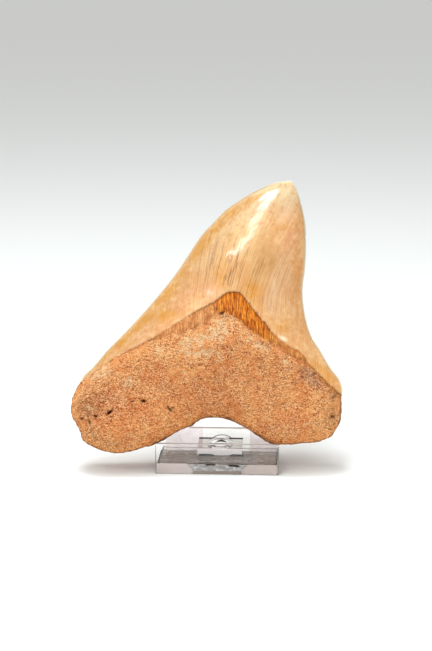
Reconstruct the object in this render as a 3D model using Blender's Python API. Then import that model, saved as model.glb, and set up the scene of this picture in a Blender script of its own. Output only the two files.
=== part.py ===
"""Fossil megalodon tooth on a clear two-piece display stand.

Three separate pieces:
  tooth            one natural piece: enamel crown, bourlette and root
  stand_base       clear moulded base: front lip, ribbed deck, side rails, cross bar
  stand_back_rest  clear moulded back rest: two tongues that clip over and under the deck,
                   a ramp with a finger hole, and an upright plate with two arms

Lengths below are in millimetres; the meshes are made in metres.  +Z is up, the tooth
shows its lingual face towards -Y, and the origin is at the centre of the bottom of
the whole display.
"""
import bpy
import bmesh
import math
import numpy as np
from mathutils import Vector
from mathutils.geometry import delaunay_2d_cdt

MM = 0.001

# ------------------------------------------------------------------ driving dimensions
# stand base (X across, Y from the front face of the lip backwards, Z up)
LIP_HALF_WIDTH = 28.0
LIP_THICK = 1.7
LIP_HEIGHT = 14.15
DECK_HALF_WIDTH = 27.3
DECK_BACK = 23.6
DECK_TOP = 4.7
DECK_UNDER = 3.0
RIB_PITCH = 1.25
RIB_DEPTH = 0.4
RAIL_THICK = 1.6
RAIL_BACK = 36.0
RAIL_TOP_BEHIND = 3.4
MOULD_EDGE = 0.22

# stand back rest
REST_SHIFT_X = 0.7
PLATE_FRONT = 24.0
PLATE_THICK = 2.0
PLATE_LEAN_DEG = 3.0
PLATE_HALF_WIDTH = 26.0
PLATE_FOOT = 3.8
NOTCH_HALF_WIDTH = 17.5
NOTCH_BOTTOM = 15.3
LEAN_FROM = 14.4
NOTCH_RADIUS = 4.0
ARM_TOP = 63.0
ARM_TOP_RADIUS = 2.8
TONGUE_HALF_WIDTH = 10.2
TONGUE_FRONT = 9.7
TONGUE_UNDER = 6.5
TONGUE_TOP = 9.2
HOLE_RADIUS = 4.6
HOLE_RIM_RADIUS = 6.0
HOLE_RIM_HEIGHT = 0.9
RAMP_DEG = 6.5

# tooth: where its own origin (bottom of the right-hand arch flank) stands, and its lean
TOOTH_AT = (-0.235, 4.5, 13.25)
TOOTH_LEAN_DEG = 17.0
TOOTH_YAW_DEG = 3.0

# tooth outline in its own plane: a to the right, b towards the tip
OUTLINE = [
    (25.6, 119.5), (20.9, 117.6), (17.0, 115.7), (13.8, 113.9), (10.8, 112.0),
    (5.3, 108.3), (1.2, 104.6), (-2.2, 100.9), (-5.8, 97.2), (-8.6, 93.5),
    (-13.4, 86.1), (-18.3, 78.7), (-24.0, 71.3), (-30.2, 63.9), (-36.6, 56.6),
    (-43.6, 49.3), (-50.8, 41.9), (-56.9, 34.6), (-60.7, 31.0), (-62.7, 27.3),
    (-64.5, 23.7), (-65.7, 20.0), (-65.9, 13.6), (-64.2, 9.1), (-62.4, 5.4),
    (-61.2, 1.6), (-57.7, -0.9), (-52.3, -3.2), (-45.0, -4.5), (-37.7, -3.4),
    (-30.5, -0.8), (-23.2, 2.5), (-16.8, 5.9), (-12.3, 8.2), (-6.4, 11.4),
    (-1.4, 11.8), (5.0, 10.9), (10.5, 8.6), (17.7, 4.2), (24.1, 0.2),
    (30.9, -0.5), (37.7, 0.0), (45.9, 1.4), (51.4, 3.5), (54.6, 7.3),
    (56.2, 12.7), (56.6, 20.0), (57.1, 24.6), (55.8, 29.1), (51.7, 34.6),
    (47.4, 41.9), (43.1, 49.3), (40.7, 56.6), (39.5, 63.9), (39.3, 71.3),
    (40.2, 78.7), (40.8, 86.1), (40.9, 95.3), (40.5, 100.9), (39.1, 108.3),
    (37.7, 113.9), (36.2, 117.6), (34.3, 120.5), (30.4, 120.4),
]
LEFT_SHOULDER = (-60.7, 31.0)
RIGHT_SHOULDER = (55.8, 29.1)
TIP = (33.5, 120.4)

# lower border of the enamel on the lingual face: the chevron above the bourlette
ENAMEL_EDGE = [
    (-68.0, 24.0), (-62.0, 27.8), (-52.0, 35.1), (-39.7, 42.8), (-26.0, 50.2),
    (-16.0, 56.1), (-7.8, 61.0), (1.4, 66.5), (8.2, 69.5), (13.7, 65.3),
    (18.8, 59.3), (23.3, 52.9), (30.2, 47.0), (37.9, 41.7), (45.2, 33.2),
    (54.7, 23.7), (62.0, 20.0),
]
# lower border of the enamel on the labial face: one broad arch
LABIAL_EDGE = [
    (-68.0, 23.0), (-62.0, 26.5), (-48.0, 31.0), (-30.0, 38.5), (-12.0, 43.5),
    (4.0, 45.0), (20.0, 42.0), (36.0, 33.5), (50.0, 25.5), (62.0, 21.0),
]

# tooth thickness
CROWN_LINGUAL = 17.0      # crown height above the cutting-edge plane, wide limit
CROWN_LABIAL = 6.6
ROOT_LINGUAL = 9.6        # root height above the edge plane away from the middle
ROOT_BULGE = 7.4          # extra height of the lingual protuberance
ROOT_BULGE_AT = (3.0, 44.0)
ROOT_LABIAL = 9.0
ROOT_ROUND_LINGUAL = 11.0
ROOT_ROUND_LABIAL = 8.5
EDGE_SPACING = 2.5
FACE_SPACING = 2.9


# ------------------------------------------------------------------ small helpers
def clear_scene():
    for ob in list(bpy.data.objects):
        bpy.data.objects.remove(ob, do_unlink=True)


def principled(name, color, roughness, metallic=0.0, transmission=0.0, ior=1.5, coat=0.0):
    mat = bpy.data.materials.new(name)
    mat.use_nodes = True
    bsdf = mat.node_tree.nodes["Principled BSDF"]
    bsdf.inputs["Base Color"].default_value = (*color, 1.0)
    bsdf.inputs["Roughness"].default_value = roughness
    bsdf.inputs["Metallic"].default_value = metallic
    bsdf.inputs["Transmission Weight"].default_value = transmission
    bsdf.inputs["IOR"].default_value = ior
    bsdf.inputs["Coat Weight"].default_value = coat
    mat.diffuse_color = (*color, 1.0)
    return mat


def new_object(name, mesh):
    ob = bpy.data.objects.new(name, mesh)
    bpy.context.scene.collection.objects.link(ob)
    return ob


def rounded_box(name, lo, hi, edge):
    """Box with every edge bevelled."""
    bm = bmesh.new()
    bmesh.ops.create_cube(bm, size=1.0)
    lo, hi = Vector(lo), Vector(hi)
    for v in bm.verts:
        v.co = Vector(tuple((lo[k] + hi[k]) / 2 + v.co[k] * (hi[k] - lo[k]) for k in range(3))) * MM
    if edge > 0:
        bmesh.ops.bevel(bm, geom=bm.edges[:], offset=edge * MM, segments=2, profile=0.5,
                        affect='EDGES')
    me = bpy.data.meshes.new(name)
    bm.to_mesh(me)
    bm.free()
    return new_object(name, me)


def extruded(name, profile, axis, start, end, edge=0.0):
    """Prism: a closed profile swept along X, Y or Z, ends bevelled by edge.

    The profile is given in (Y, Z) for axis X, (X, Z) for axis Y and (X, Y) for axis Z.
    """
    bm = bmesh.new()
    put = {"X": lambda p, t: (t, p[0], p[1]),
           "Y": lambda p, t: (p[0], t, p[1]),
           "Z": lambda p, t: (p[0], p[1], t)}[axis]
    verts = [bm.verts.new(Vector(put(p, start)) * MM) for p in profile]
    face = bm.faces.new(verts)
    out = bmesh.ops.extrude_face_region(bm, geom=[face])
    step = Vector(put((0.0, 0.0), end - start)) * MM
    moved = [g for g in out["geom"] if isinstance(g, bmesh.types.BMVert)]
    bmesh.ops.translate(bm, verts=moved, vec=step)
    bmesh.ops.recalc_face_normals(bm, faces=bm.faces[:])
    if edge > 0:
        k = "XYZ".index(axis)
        rim = [e for e in bm.edges
               if abs(e.verts[0].co[k] - e.verts[1].co[k]) < 1e-9 and len(e.link_faces) == 2
               and e.calc_face_angle(0.0) > math.radians(50)]
        bmesh.ops.bevel(bm, geom=rim, offset=edge * MM, segments=2, profile=0.5,
                        affect='EDGES')
    me = bpy.data.meshes.new(name)
    bm.to_mesh(me)
    bm.free()
    return new_object(name, me)


def cylinder(name, radius, z0, z1, at, tilt_deg, sides=40):
    """Round bar standing on the ramp: its axis is square to a plane tilted about X."""
    bm = bmesh.new()
    bmesh.ops.create_cone(bm, cap_ends=True, segments=sides, radius1=radius * MM,
                          radius2=radius * MM, depth=(z1 - z0) * MM)
    t = math.radians(tilt_deg)
    for v in bm.verts:
        x, y, z = v.co.x, v.co.y, v.co.z + (z0 + z1) / 2 * MM
        v.co = Vector((x, y * math.cos(t) - z * math.sin(t), y * math.sin(t) + z * math.cos(t))) \
            + Vector(at) * MM
    me = bpy.data.meshes.new(name)
    bm.to_mesh(me)
    bm.free()
    return new_object(name, me)


def combine(base, other, operation):
    """Union or difference of two solids; the second is used up."""
    mod = base.modifiers.new("join", 'BOOLEAN')
    mod.operation = operation
    mod.solver = 'EXACT'
    mod.object = other
    deps = bpy.context.evaluated_depsgraph_get()
    me = bpy.data.meshes.new_from_object(base.evaluated_get(deps))
    base.modifiers.clear()
    old = base.data
    base.data = me
    bpy.data.meshes.remove(old)
    bpy.data.objects.remove(other, do_unlink=True)
    return base


def finish_mesh(ob, mat, smooth_deg=35.0):
    me = ob.data
    bm = bmesh.new()
    bm.from_mesh(me)
    bmesh.ops.remove_doubles(bm, verts=bm.verts[:], dist=1e-6)
    bmesh.ops.dissolve_degenerate(bm, edges=bm.edges[:], dist=1e-6)
    bmesh.ops.triangulate(bm, faces=[f for f in bm.faces if len(f.verts) > 4])
    bmesh.ops.recalc_face_normals(bm, faces=bm.faces[:])
    bm.to_mesh(me)
    bm.free()
    me.shade_smooth()
    me.set_sharp_from_angle(angle=math.radians(smooth_deg))
    me.materials.clear()
    me.materials.append(mat)


# ------------------------------------------------------------------ tooth
def catmull(points, closed, step):
    """Centripetal Catmull-Rom curve through the points, resampled at an even spacing."""
    p = np.array(points, float)
    n = len(p)
    if closed:
        ext = np.vstack([p[-1], p, p[0], p[1]])
        spans = n
    else:
        ext = np.vstack([2 * p[0] - p[1], p, 2 * p[-1] - p[-2]])
        spans = n - 1
    dense = []
    for i in range(spans):
        p0, p1, p2, p3 = ext[i:i + 4]
        t = [0.0]
        for u, v in ((p0, p1), (p1, p2), (p2, p3)):
            t.append(t[-1] + max(np.linalg.norm(v - u), 1e-6) ** 0.5)
        for s in np.linspace(t[1], t[2], 24, endpoint=False):
            a1 = (t[1] - s) / (t[1] - t[0]) * p0 + (s - t[0]) / (t[1] - t[0]) * p1
            a2 = (t[2] - s) / (t[2] - t[1]) * p1 + (s - t[1]) / (t[2] - t[1]) * p2
            a3 = (t[3] - s) / (t[3] - t[2]) * p2 + (s - t[2]) / (t[3] - t[2]) * p3
            b1 = (t[2] - s) / (t[2] - t[0]) * a1 + (s - t[0]) / (t[2] - t[0]) * a2
            b2 = (t[3] - s) / (t[3] - t[1]) * a2 + (s - t[1]) / (t[3] - t[1]) * a3
            dense.append((t[2] - s) / (t[2] - t[1]) * b1 + (s - t[1]) / (t[2] - t[1]) * b2)
    dense.append(p[0] if closed else p[-1])
    dense = np.array(dense)
    run = np.concatenate([[0], np.cumsum(np.linalg.norm(np.diff(dense, axis=0), axis=1))])
    count = max(8, int(round(run[-1] / step)))
    at = np.linspace(0, run[-1], count, endpoint=not closed)
    return np.stack([np.interp(at, run, dense[:, 0]), np.interp(at, run, dense[:, 1])], 1)


def distance(q, line):
    """Shortest distance from each point q to a polyline, with the nearest segment's side."""
    best = np.full(len(q), 1e9)
    side = np.zeros(len(q))
    for u, v in zip(line[:-1], line[1:]):
        d = v - u
        t = np.clip(((q - u) @ d) / max(d @ d, 1e-12), 0, 1)
        r = q - (u + t[:, None] * d)
        dist = np.hypot(r[:, 0], r[:, 1])
        closer = dist < best
        best = np.where(closer, dist, best)
        side = np.where(closer, np.sign(d[0] * r[:, 1] - d[1] * r[:, 0]), side)
    return best, side


def smooth(x, lo, hi):
    t = np.clip((x - lo) / (hi - lo), 0, 1)
    return t * t * (3 - 2 * t)


def nearest(points, target):
    return int(np.argmin(np.hypot(points[:, 0] - target[0], points[:, 1] - target[1])))


def tooth_heights(q, outline):
    """Lingual and labial heights above the edge plane at each point q of the outline's inside."""
    i_tip, i_left, i_right = (nearest(outline, t) for t in (TIP, LEFT_SHOULDER, RIGHT_SHOULDER))
    loop = np.roll(outline, -i_tip, axis=0)
    i_left, i_right = (nearest(loop, t) for t in (LEFT_SHOULDER, RIGHT_SHOULDER))
    left = np.vstack([loop[:i_left + 1], [(-75.0, 12.0)]])
    right = np.vstack([[(72.0, 12.0)], loop[i_right:], loop[:1]])
    d_left, _ = distance(q, left)
    d_right, _ = distance(q, right)
    d_edge, _ = distance(q, np.vstack([outline, outline[:1]]))

    wide = d_left + d_right
    t = d_left / np.maximum(wide, 1e-9)
    dome = np.clip(4 * t * (1 - t), 0, 1)
    crown_f = CROWN_LINGUAL * (1 - np.exp(-wide / 38.0)) * dome ** 0.9
    crown_b = CROWN_LABIAL * (1 - np.exp(-wide / 30.0)) * dome ** 0.75

    def rounded(radius):
        x = np.clip(d_edge / radius, 0, 1)
        return np.sqrt(np.clip(1 - (1 - x) ** 2, 0, 1))

    a, b = q[:, 0], q[:, 1]
    bulge = ROOT_BULGE * np.exp(-((a - ROOT_BULGE_AT[0]) / 27.0) ** 2 / 2
                                - ((b - ROOT_BULGE_AT[1]) / 17.0) ** 2 / 2)
    groove = 1.2 * np.exp(-((a - 2.0) / 5.0) ** 2 / 2 - ((b - 24.0) / 12.0) ** 2 / 2)
    root_f = (ROOT_LINGUAL + bulge - groove) * rounded(ROOT_ROUND_LINGUAL)
    hollow = 1.6 * np.exp(-((a - 0.0) / 26.0) ** 2 / 2 - ((b - 26.0) / 14.0) ** 2 / 2)
    root_b = (ROOT_LABIAL - hollow) * rounded(ROOT_ROUND_LABIAL)

    d_e, s_e = distance(q, catmull(ENAMEL_EDGE, False, 2.0))
    d_l, s_l = distance(q, catmull(LABIAL_EDGE, False, 2.0))
    w_f = smooth(d_e * s_e, -7.0, 7.0)
    w_b = smooth(d_l * s_l, -8.0, 8.0)
    front = root_f * (1 - w_f) + crown_f * w_f
    back = root_b * (1 - w_b) + crown_b * w_b
    return front, back


def build_tooth(mat):
    outline = catmull(OUTLINE, True, EDGE_SPACING)
    n = len(outline)
    nxt, prv = np.roll(outline, -1, axis=0), np.roll(outline, 1, axis=0)
    tangent = nxt - prv
    tangent /= np.linalg.norm(tangent, axis=1)[:, None]
    inward = np.stack([-tangent[:, 1], tangent[:, 0]], 1)
    area = 0.5 * np.sum(outline[:, 0] * nxt[:, 1] - nxt[:, 0] * outline[:, 1])
    if area < 0:
        inward = -inward
    rim_line = np.vstack([outline, outline[:1]])
    rings = []
    for depth in (0.6, 2.3):
        ring = outline + inward * depth
        rings.append(ring[distance(ring, rim_line)[0] > depth * 0.93])
    rings = np.vstack(rings)

    # triangular grid of points inside the ring
    xs = np.arange(-70, 62, FACE_SPACING)
    ys = np.arange(-8, 124, FACE_SPACING * math.sqrt(3) / 2)
    grid = np.array([(x + (FACE_SPACING / 2 if j % 2 else 0.0), y)
                     for j, y in enumerate(ys) for x in xs])
    d, _ = distance(grid, rim_line)
    inside = np.zeros(len(grid), bool)
    for u, v in zip(outline, nxt):
        cross = ((u[1] > grid[:, 1]) != (v[1] > grid[:, 1]))
        with np.errstate(divide='ignore', invalid='ignore'):
            x_at = u[0] + (grid[:, 1] - u[1]) / (v[1] - u[1]) * (v[0] - u[0])
        inside ^= cross & (grid[:, 0] < x_at)
    grid = grid[inside & (d > 3.9)]

    pts = np.vstack([outline, rings, grid])
    edges = [(i, (i + 1) % n) for i in range(n)]
    verts, _, faces, _, _, _ = delaunay_2d_cdt([Vector(p) for p in pts], edges, [], 1, 1e-6)
    verts = np.array([tuple(v) for v in verts])
    rim = distance(verts, rim_line)[0] < 1e-3
    front, back = tooth_heights(verts, outline)

    bm = bmesh.new()
    top, low = [], []
    for (a, b), f, k, edge in zip(verts, front, back, rim):
        if edge:
            v = bm.verts.new((a * MM, 0.0, b * MM))
            top.append(v)
            low.append(v)
        else:
            top.append(bm.verts.new((a * MM, -max(f, 0.15) * MM, b * MM)))
            low.append(bm.verts.new((a * MM, max(k, 0.15) * MM, b * MM)))
    for f in faces:
        if all(rim[i] for i in f):
            continue
        bm.faces.new([top[i] for i in f])
        bm.faces.new([low[i] for i in reversed(f)])
    bmesh.ops.delete(bm, geom=[v for v in bm.verts if not v.link_faces], context='VERTS')
    bmesh.ops.recalc_face_normals(bm, faces=bm.faces[:])
    me = bpy.data.meshes.new("tooth")
    bm.to_mesh(me)
    bm.free()
    me.shade_smooth()
    me.set_sharp_from_angle(angle=math.radians(60))
    me.materials.append(mat)
    ob = new_object("tooth", me)
    ob.location = Vector(TOOTH_AT) * MM
    ob.rotation_euler = (-math.radians(TOOTH_LEAN_DEG), 0.0, math.radians(TOOTH_YAW_DEG))
    return ob


# ------------------------------------------------------------------ stand
def build_base(mat):
    lip = rounded_box("stand_base", (-LIP_HALF_WIDTH, 0.0, 0.0),
                      (LIP_HALF_WIDTH, LIP_THICK, LIP_HEIGHT), MOULD_EDGE)
    # ribbed deck: saw-tooth ribs run across the top
    y = LIP_THICK + 1.2
    top = [(LIP_THICK - 0.5, DECK_TOP), (y, DECK_TOP)]
    while y + RIB_PITCH < DECK_BACK - 0.6:
        top += [(y + 0.15, DECK_TOP - RIB_DEPTH), (y + RIB_PITCH, DECK_TOP)]
        y += RIB_PITCH
    top += [(DECK_BACK - MOULD_EDGE, DECK_TOP), (DECK_BACK, DECK_TOP - MOULD_EDGE),
            (DECK_BACK, DECK_UNDER), (LIP_THICK - 0.5, DECK_UNDER)]
    deck = extruded("deck", top, "X", -DECK_HALF_WIDTH, DECK_HALF_WIDTH, 0.0)
    combine(lip, deck, 'UNION')
    # rails under the deck edges, running on behind it
    for s in (-1, 1):
        outer, inner = s * (DECK_HALF_WIDTH - 0.03), s * (DECK_HALF_WIDTH - RAIL_THICK)
        prof = [(LIP_THICK - 0.5, 0.0), (RAIL_BACK - 0.8, 0.0), (RAIL_BACK, 0.8),
                (RAIL_BACK, RAIL_TOP_BEHIND - 0.8), (RAIL_BACK - 0.8, RAIL_TOP_BEHIND),
                (DECK_BACK - 0.4, RAIL_TOP_BEHIND), (DECK_BACK - 0.4, DECK_UNDER + 0.8),
                (LIP_THICK - 0.5, DECK_UNDER + 0.8)]
        rail = extruded("rail", prof, "X", min(outer, inner), max(outer, inner), 0.0)
        combine(lip, rail, 'UNION')
    bar = rounded_box("bar", (-DECK_HALF_WIDTH + 0.8, RAIL_BACK - 2.4, 0.02),
                      (DECK_HALF_WIDTH - 0.8, RAIL_BACK - 0.9, RAIL_TOP_BEHIND - 0.3), MOULD_EDGE)
    combine(lip, bar, 'UNION')
    finish_mesh(lip, mat)
    return lip


def arc(cx, cz, r, a0, a1, steps):
    return [(cx + r * math.cos(math.radians(a0 + (a1 - a0) * i / steps)),
             cz + r * math.sin(math.radians(a0 + (a1 - a0) * i / steps)))
            for i in range(steps + 1)]


def build_back_rest(mat):
    w, n, r = PLATE_HALF_WIDTH, NOTCH_HALF_WIDTH, NOTCH_RADIUS
    half = [(0.0, NOTCH_BOTTOM)]
    half += arc(n - r, NOTCH_BOTTOM + r, r, -90, 0, 6)
    half += arc(n + 0.6 + ARM_TOP_RADIUS, ARM_TOP - ARM_TOP_RADIUS, ARM_TOP_RADIUS, 180, 90, 6)
    half += arc(w - 1.6 - ARM_TOP_RADIUS, ARM_TOP - ARM_TOP_RADIUS, ARM_TOP_RADIUS, 90, 0, 6)
    half += [(w, 30.0), (w, PLATE_FOOT + 0.8), (w - 0.8, PLATE_FOOT), (14.2, PLATE_FOOT),
             (14.2, 0.5), (0.0, 0.5)]
    loop = half[:-1] + [(-x, z) for x, z in reversed(half[1:-1])]
    plate = extruded("stand_back_rest", loop, "Y", PLATE_FRONT, PLATE_FRONT + PLATE_THICK,
                     MOULD_EDGE)
    for v in plate.data.vertices:
        v.co.y += max(v.co.z - LEAN_FROM * MM, 0.0) * math.tan(math.radians(PLATE_LEAN_DEG))
    # upper tongue: blunt front bar, then a ramp up to the plate
    f, t = TONGUE_FRONT, math.tan(math.radians(RAMP_DEG))
    back = PLATE_FRONT + 0.6
    ramp_top = TONGUE_TOP
    prof = [(f, TONGUE_UNDER), (f, ramp_top - 0.5), (f + 0.15, ramp_top - 0.15), (f + 0.5, ramp_top),
            (f + 1.2, ramp_top + 0.1), (back, ramp_top + 0.1 + (back - f - 1.2) * t),
            (back, ramp_top - 2.1 + (back - f - 1.2) * t), (f + 3.4, ramp_top - 2.1 + 2.2 * t),
            (f + 1.9, TONGUE_UNDER)]
    tongue = extruded("tongue", prof, "X", -TONGUE_HALF_WIDTH, TONGUE_HALF_WIDTH, 0.0)
    combine(plate, tongue, 'UNION')
    # finger hole with a raised rim
    hole_y = 16.0
    hole_z = ramp_top + 0.1 + (hole_y - f - 1.2) * t
    at = (0.0, hole_y, hole_z)
    combine(plate, cylinder("rim", HOLE_RIM_RADIUS, -1.0, HOLE_RIM_HEIGHT, at, RAMP_DEG), 'UNION')
    combine(plate, cylinder("hole", HOLE_RADIUS, -6.0, 6.0, at, RAMP_DEG), 'DIFFERENCE')
    # lower tongue: flared plate under the deck
    low = extruded("low", [(-11.0, 3.6), (11.0, 3.6), (14.0, PLATE_FRONT + 1.0),
                           (-14.0, PLATE_FRONT + 1.0)], "Z", 0.5, 2.1, 0.0)
    combine(plate, low, 'UNION')
    for v in plate.data.vertices:
        v.co.x += REST_SHIFT_X * MM
    finish_mesh(plate, mat)
    return plate


def main():
    clear_scene()
    tooth_mat = principled("tooth", (0.72, 0.44, 0.24), 0.45, coat=0.3)
    base_mat = principled("stand_base", (0.95, 0.95, 0.96), 0.04, transmission=1.0, ior=1.5)
    rest_mat = principled("stand_back_rest", (0.94, 0.94, 0.97), 0.04, transmission=1.0, ior=1.5)
    pieces = [build_tooth(tooth_mat), build_base(base_mat), build_back_rest(rest_mat)]

    # the display's own origin: the centre of its footprint box, at the bottom
    bpy.context.view_layer.update()
    lo, hi = Vector((1e9,) * 3), Vector((-1e9,) * 3)
    for ob in pieces:
        for v in ob.data.vertices:
            p = ob.matrix_world @ v.co
            lo = Vector(map(min, lo, p))
            hi = Vector(map(max, hi, p))
    display = bpy.data.objects.new("display", None)
    bpy.context.scene.collection.objects.link(display)
    display.location = (-(lo.x + hi.x) / 2, -(lo.y + hi.y) / 2, -lo.z)
    for ob in pieces:
        ob.parent = display
    bpy.context.view_layer.update()


main()
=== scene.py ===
import sys
import math

import bmesh
import bpy
import numpy as np
from mathutils import Matrix, Vector, kdtree, noise
from mathutils.geometry import delaunay_2d_cdt


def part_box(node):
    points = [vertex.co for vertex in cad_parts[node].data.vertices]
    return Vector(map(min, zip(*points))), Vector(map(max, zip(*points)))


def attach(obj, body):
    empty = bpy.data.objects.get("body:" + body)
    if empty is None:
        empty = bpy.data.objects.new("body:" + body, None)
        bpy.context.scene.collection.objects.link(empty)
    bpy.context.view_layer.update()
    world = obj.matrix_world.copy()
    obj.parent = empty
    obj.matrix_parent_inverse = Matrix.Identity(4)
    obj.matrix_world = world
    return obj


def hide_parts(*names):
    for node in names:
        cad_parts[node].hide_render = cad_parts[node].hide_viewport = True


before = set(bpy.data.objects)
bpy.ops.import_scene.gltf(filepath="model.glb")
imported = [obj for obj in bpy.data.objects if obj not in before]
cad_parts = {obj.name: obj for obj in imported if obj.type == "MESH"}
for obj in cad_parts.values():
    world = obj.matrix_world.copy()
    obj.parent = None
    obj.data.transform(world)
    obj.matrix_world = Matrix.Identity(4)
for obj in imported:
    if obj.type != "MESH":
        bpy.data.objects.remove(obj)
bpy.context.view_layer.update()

MM = 0.001
scene = bpy.context.scene

# ---------------------------------------------------------------- the model's own places
# The stand's own frame (millimetres, lip face at Y = 0, middle at X = 0) in the row frame.
base_lo, base_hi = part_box("stand_base")
STAND = Vector(((base_lo.x + base_hi.x) / 2, base_lo.y, 0.0))

TOOTH_AT = Vector((-0.235, 4.5, 13.25))
LEAN, YAW = math.radians(17.0), math.radians(3.0)
AXES = Matrix.Rotation(YAW, 3, 'Z') @ Matrix.Rotation(-LEAN, 3, 'X')
EYE = Vector((40.80, -787.25, 236.67))

# ================================================================ tooth outline
OUTLINE = [
    (25.6, 119.5), (20.9, 117.6), (17.0, 115.7), (13.8, 113.9), (10.8, 112.0),
    (5.3, 108.3), (1.2, 104.6), (-2.2, 100.9), (-5.8, 97.2), (-8.6, 93.5),
    (-13.4, 86.1), (-18.3, 78.7), (-24.0, 71.3), (-30.2, 63.9), (-36.6, 56.6),
    (-43.6, 49.3), (-50.8, 41.9), (-56.9, 34.6), (-60.7, 31.0), (-62.7, 27.3),
    (-64.5, 23.7), (-65.7, 20.0), (-65.9, 13.6), (-64.2, 9.1), (-62.4, 5.4),
    (-61.2, 1.6), (-57.7, -0.9), (-52.3, -3.2), (-45.0, -4.5), (-37.7, -3.4),
    (-30.5, -0.8), (-23.2, 2.5), (-16.8, 5.9), (-12.3, 8.2), (-6.4, 11.4),
    (-1.4, 11.8), (5.0, 10.9), (10.5, 8.6), (17.7, 4.2), (24.1, 0.2),
    (30.9, -0.5), (37.7, 0.0), (45.9, 1.4), (51.4, 3.5), (54.6, 7.3),
    (56.2, 12.7), (56.6, 20.0), (57.1, 24.6), (55.8, 29.1), (51.7, 34.6),
    (47.4, 41.9), (43.1, 49.3), (40.7, 56.6), (39.5, 63.9), (39.3, 71.3),
    (40.2, 78.7), (40.8, 86.1), (40.9, 95.3), (40.5, 100.9), (39.1, 108.3),
    (37.7, 113.9), (36.2, 117.6), (34.3, 120.5), (30.4, 120.4),
]
LEFT_SHOULDER = (-60.7, 31.0)
RIGHT_SHOULDER = (55.8, 29.1)
TIP = (33.5, 120.4)

# enamel border on the lingual face, and the upper border of the root below the bourlette
ENAMEL_EDGE = [
    (-68.0, 24.0), (-62.0, 27.8), (-55.6, 32.3), (-48.8, 37.3), (-39.7, 42.8), (-30.6, 47.4),
    (-22.4, 52.5), (-16.0, 56.1), (-10.1, 60.0), (-3.2, 63.5), (1.4, 66.5), (4.6, 68.7),
    (7.8, 69.5), (10.6, 68.6), (13.2, 65.6), (16.2, 61.8), (19.4, 57.6),
    (23.3, 52.9), (27.4, 48.3), (32.4, 44.7), (37.9, 41.7), (42.4, 36.0), (47.9, 30.0),
    (54.7, 23.7), (62.0, 19.0),
]
ROOT_EDGE = [
    (-70.0, 23.4), (-62.5, 27.3), (-56.0, 31.9), (-49.2, 37.0), (-40.0, 42.4), (-34.0, 45.2),
    (-30.5, 46.4), (-24.5, 48.6), (-18.2, 50.4), (-12.3, 52.0), (-6.8, 53.8), (-3.4, 56.2), (-1.8, 58.9),
    (2.3, 60.3), (5.9, 59.3), (9.2, 57.4), (12.8, 53.4), (17.8, 50.4), (22.0, 47.4),
    (27.9, 44.0), (33.8, 39.9), (39.6, 36.6), (43.4, 33.6), (48.0, 28.4), (54.5, 22.0),
    (62.0, 16.0),
]
LABIAL_EDGE = [
    (-68.0, 23.0), (-62.0, 26.5), (-48.0, 31.0), (-30.0, 38.5), (-12.0, 43.5),
    (4.0, 45.0), (20.0, 42.0), (36.0, 33.5), (50.0, 25.5), (62.0, 21.0),
]

CROWN_LINGUAL = 17.0
CROWN_LABIAL = 6.6
ROOT_LINGUAL = 9.6
ROOT_BULGE = 7.4
ROOT_LABIAL = 9.0
ROOT_ROUND_LINGUAL = 11.0
ROOT_ROUND_LABIAL = 8.5
SERRATION = 0.95
SERRATION_DEPTH = 0.46
BAND = 3.0


def catmull(points, closed):
    """Centripetal Catmull-Rom curve through the points, as a dense polyline."""
    p = np.array(points, float)
    n = len(p)
    if closed:
        ext = np.vstack([p[-1], p, p[0], p[1]])
        spans = n
    else:
        ext = np.vstack([2 * p[0] - p[1], p, 2 * p[-1] - p[-2]])
        spans = n - 1
    out = []
    for i in range(spans):
        p0, p1, p2, p3 = ext[i:i + 4]
        t = [0.0]
        for u, v in ((p0, p1), (p1, p2), (p2, p3)):
            t.append(t[-1] + max(np.linalg.norm(v - u), 1e-6) ** 0.5)
        for s in np.linspace(t[1], t[2], 60, endpoint=False):
            a1 = (t[1] - s) / (t[1] - t[0]) * p0 + (s - t[0]) / (t[1] - t[0]) * p1
            a2 = (t[2] - s) / (t[2] - t[1]) * p1 + (s - t[1]) / (t[2] - t[1]) * p2
            a3 = (t[3] - s) / (t[3] - t[2]) * p2 + (s - t[2]) / (t[3] - t[2]) * p3
            b1 = (t[2] - s) / (t[2] - t[0]) * a1 + (s - t[0]) / (t[2] - t[0]) * a2
            b2 = (t[3] - s) / (t[3] - t[1]) * a2 + (s - t[1]) / (t[3] - t[1]) * a3
            out.append((t[2] - s) / (t[2] - t[1]) * b1 + (s - t[1]) / (t[2] - t[1]) * b2)
    out.append(p[0] if closed else p[-1])
    return np.array(out)


def evenly(line, step):
    """The same line with points a given arc length apart, and their arc lengths."""
    run = np.concatenate([[0], np.cumsum(np.linalg.norm(np.diff(line, axis=0), axis=1))])
    count = max(8, int(round(run[-1] / step)))
    at = np.linspace(0, run[-1], count + 1)
    return np.stack([np.interp(at, run, line[:, 0]), np.interp(at, run, line[:, 1])], 1), at


def tree_of(line):
    tree = kdtree.KDTree(len(line))
    for i, p in enumerate(line):
        tree.insert((p[0], p[1], 0.0), i)
    tree.balance()
    return tree


def near(tree, pts):
    """Distance from each point to the line in the tree, and which of its points is nearest."""
    d, k = np.empty(len(pts)), np.empty(len(pts), int)
    for i, (x, y) in enumerate(pts):
        _, k[i], d[i] = tree.find((x, y, 0.0))
    return d, k


def smooth(x, lo, hi):
    t = np.clip((x - lo) / (hi - lo), 0, 1)
    return t * t * (3 - 2 * t)


def perlin(pts, scale, seed=0.0):
    """Gradient noise in -1..1 at points in millimetres; scale is its wavelength."""
    k = 1.0 / scale
    f = noise.noise
    return np.array([f(Vector((x * k + seed, y * k + 1.7 * seed, z * k - seed)))
                     for x, y, z in pts])


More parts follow.
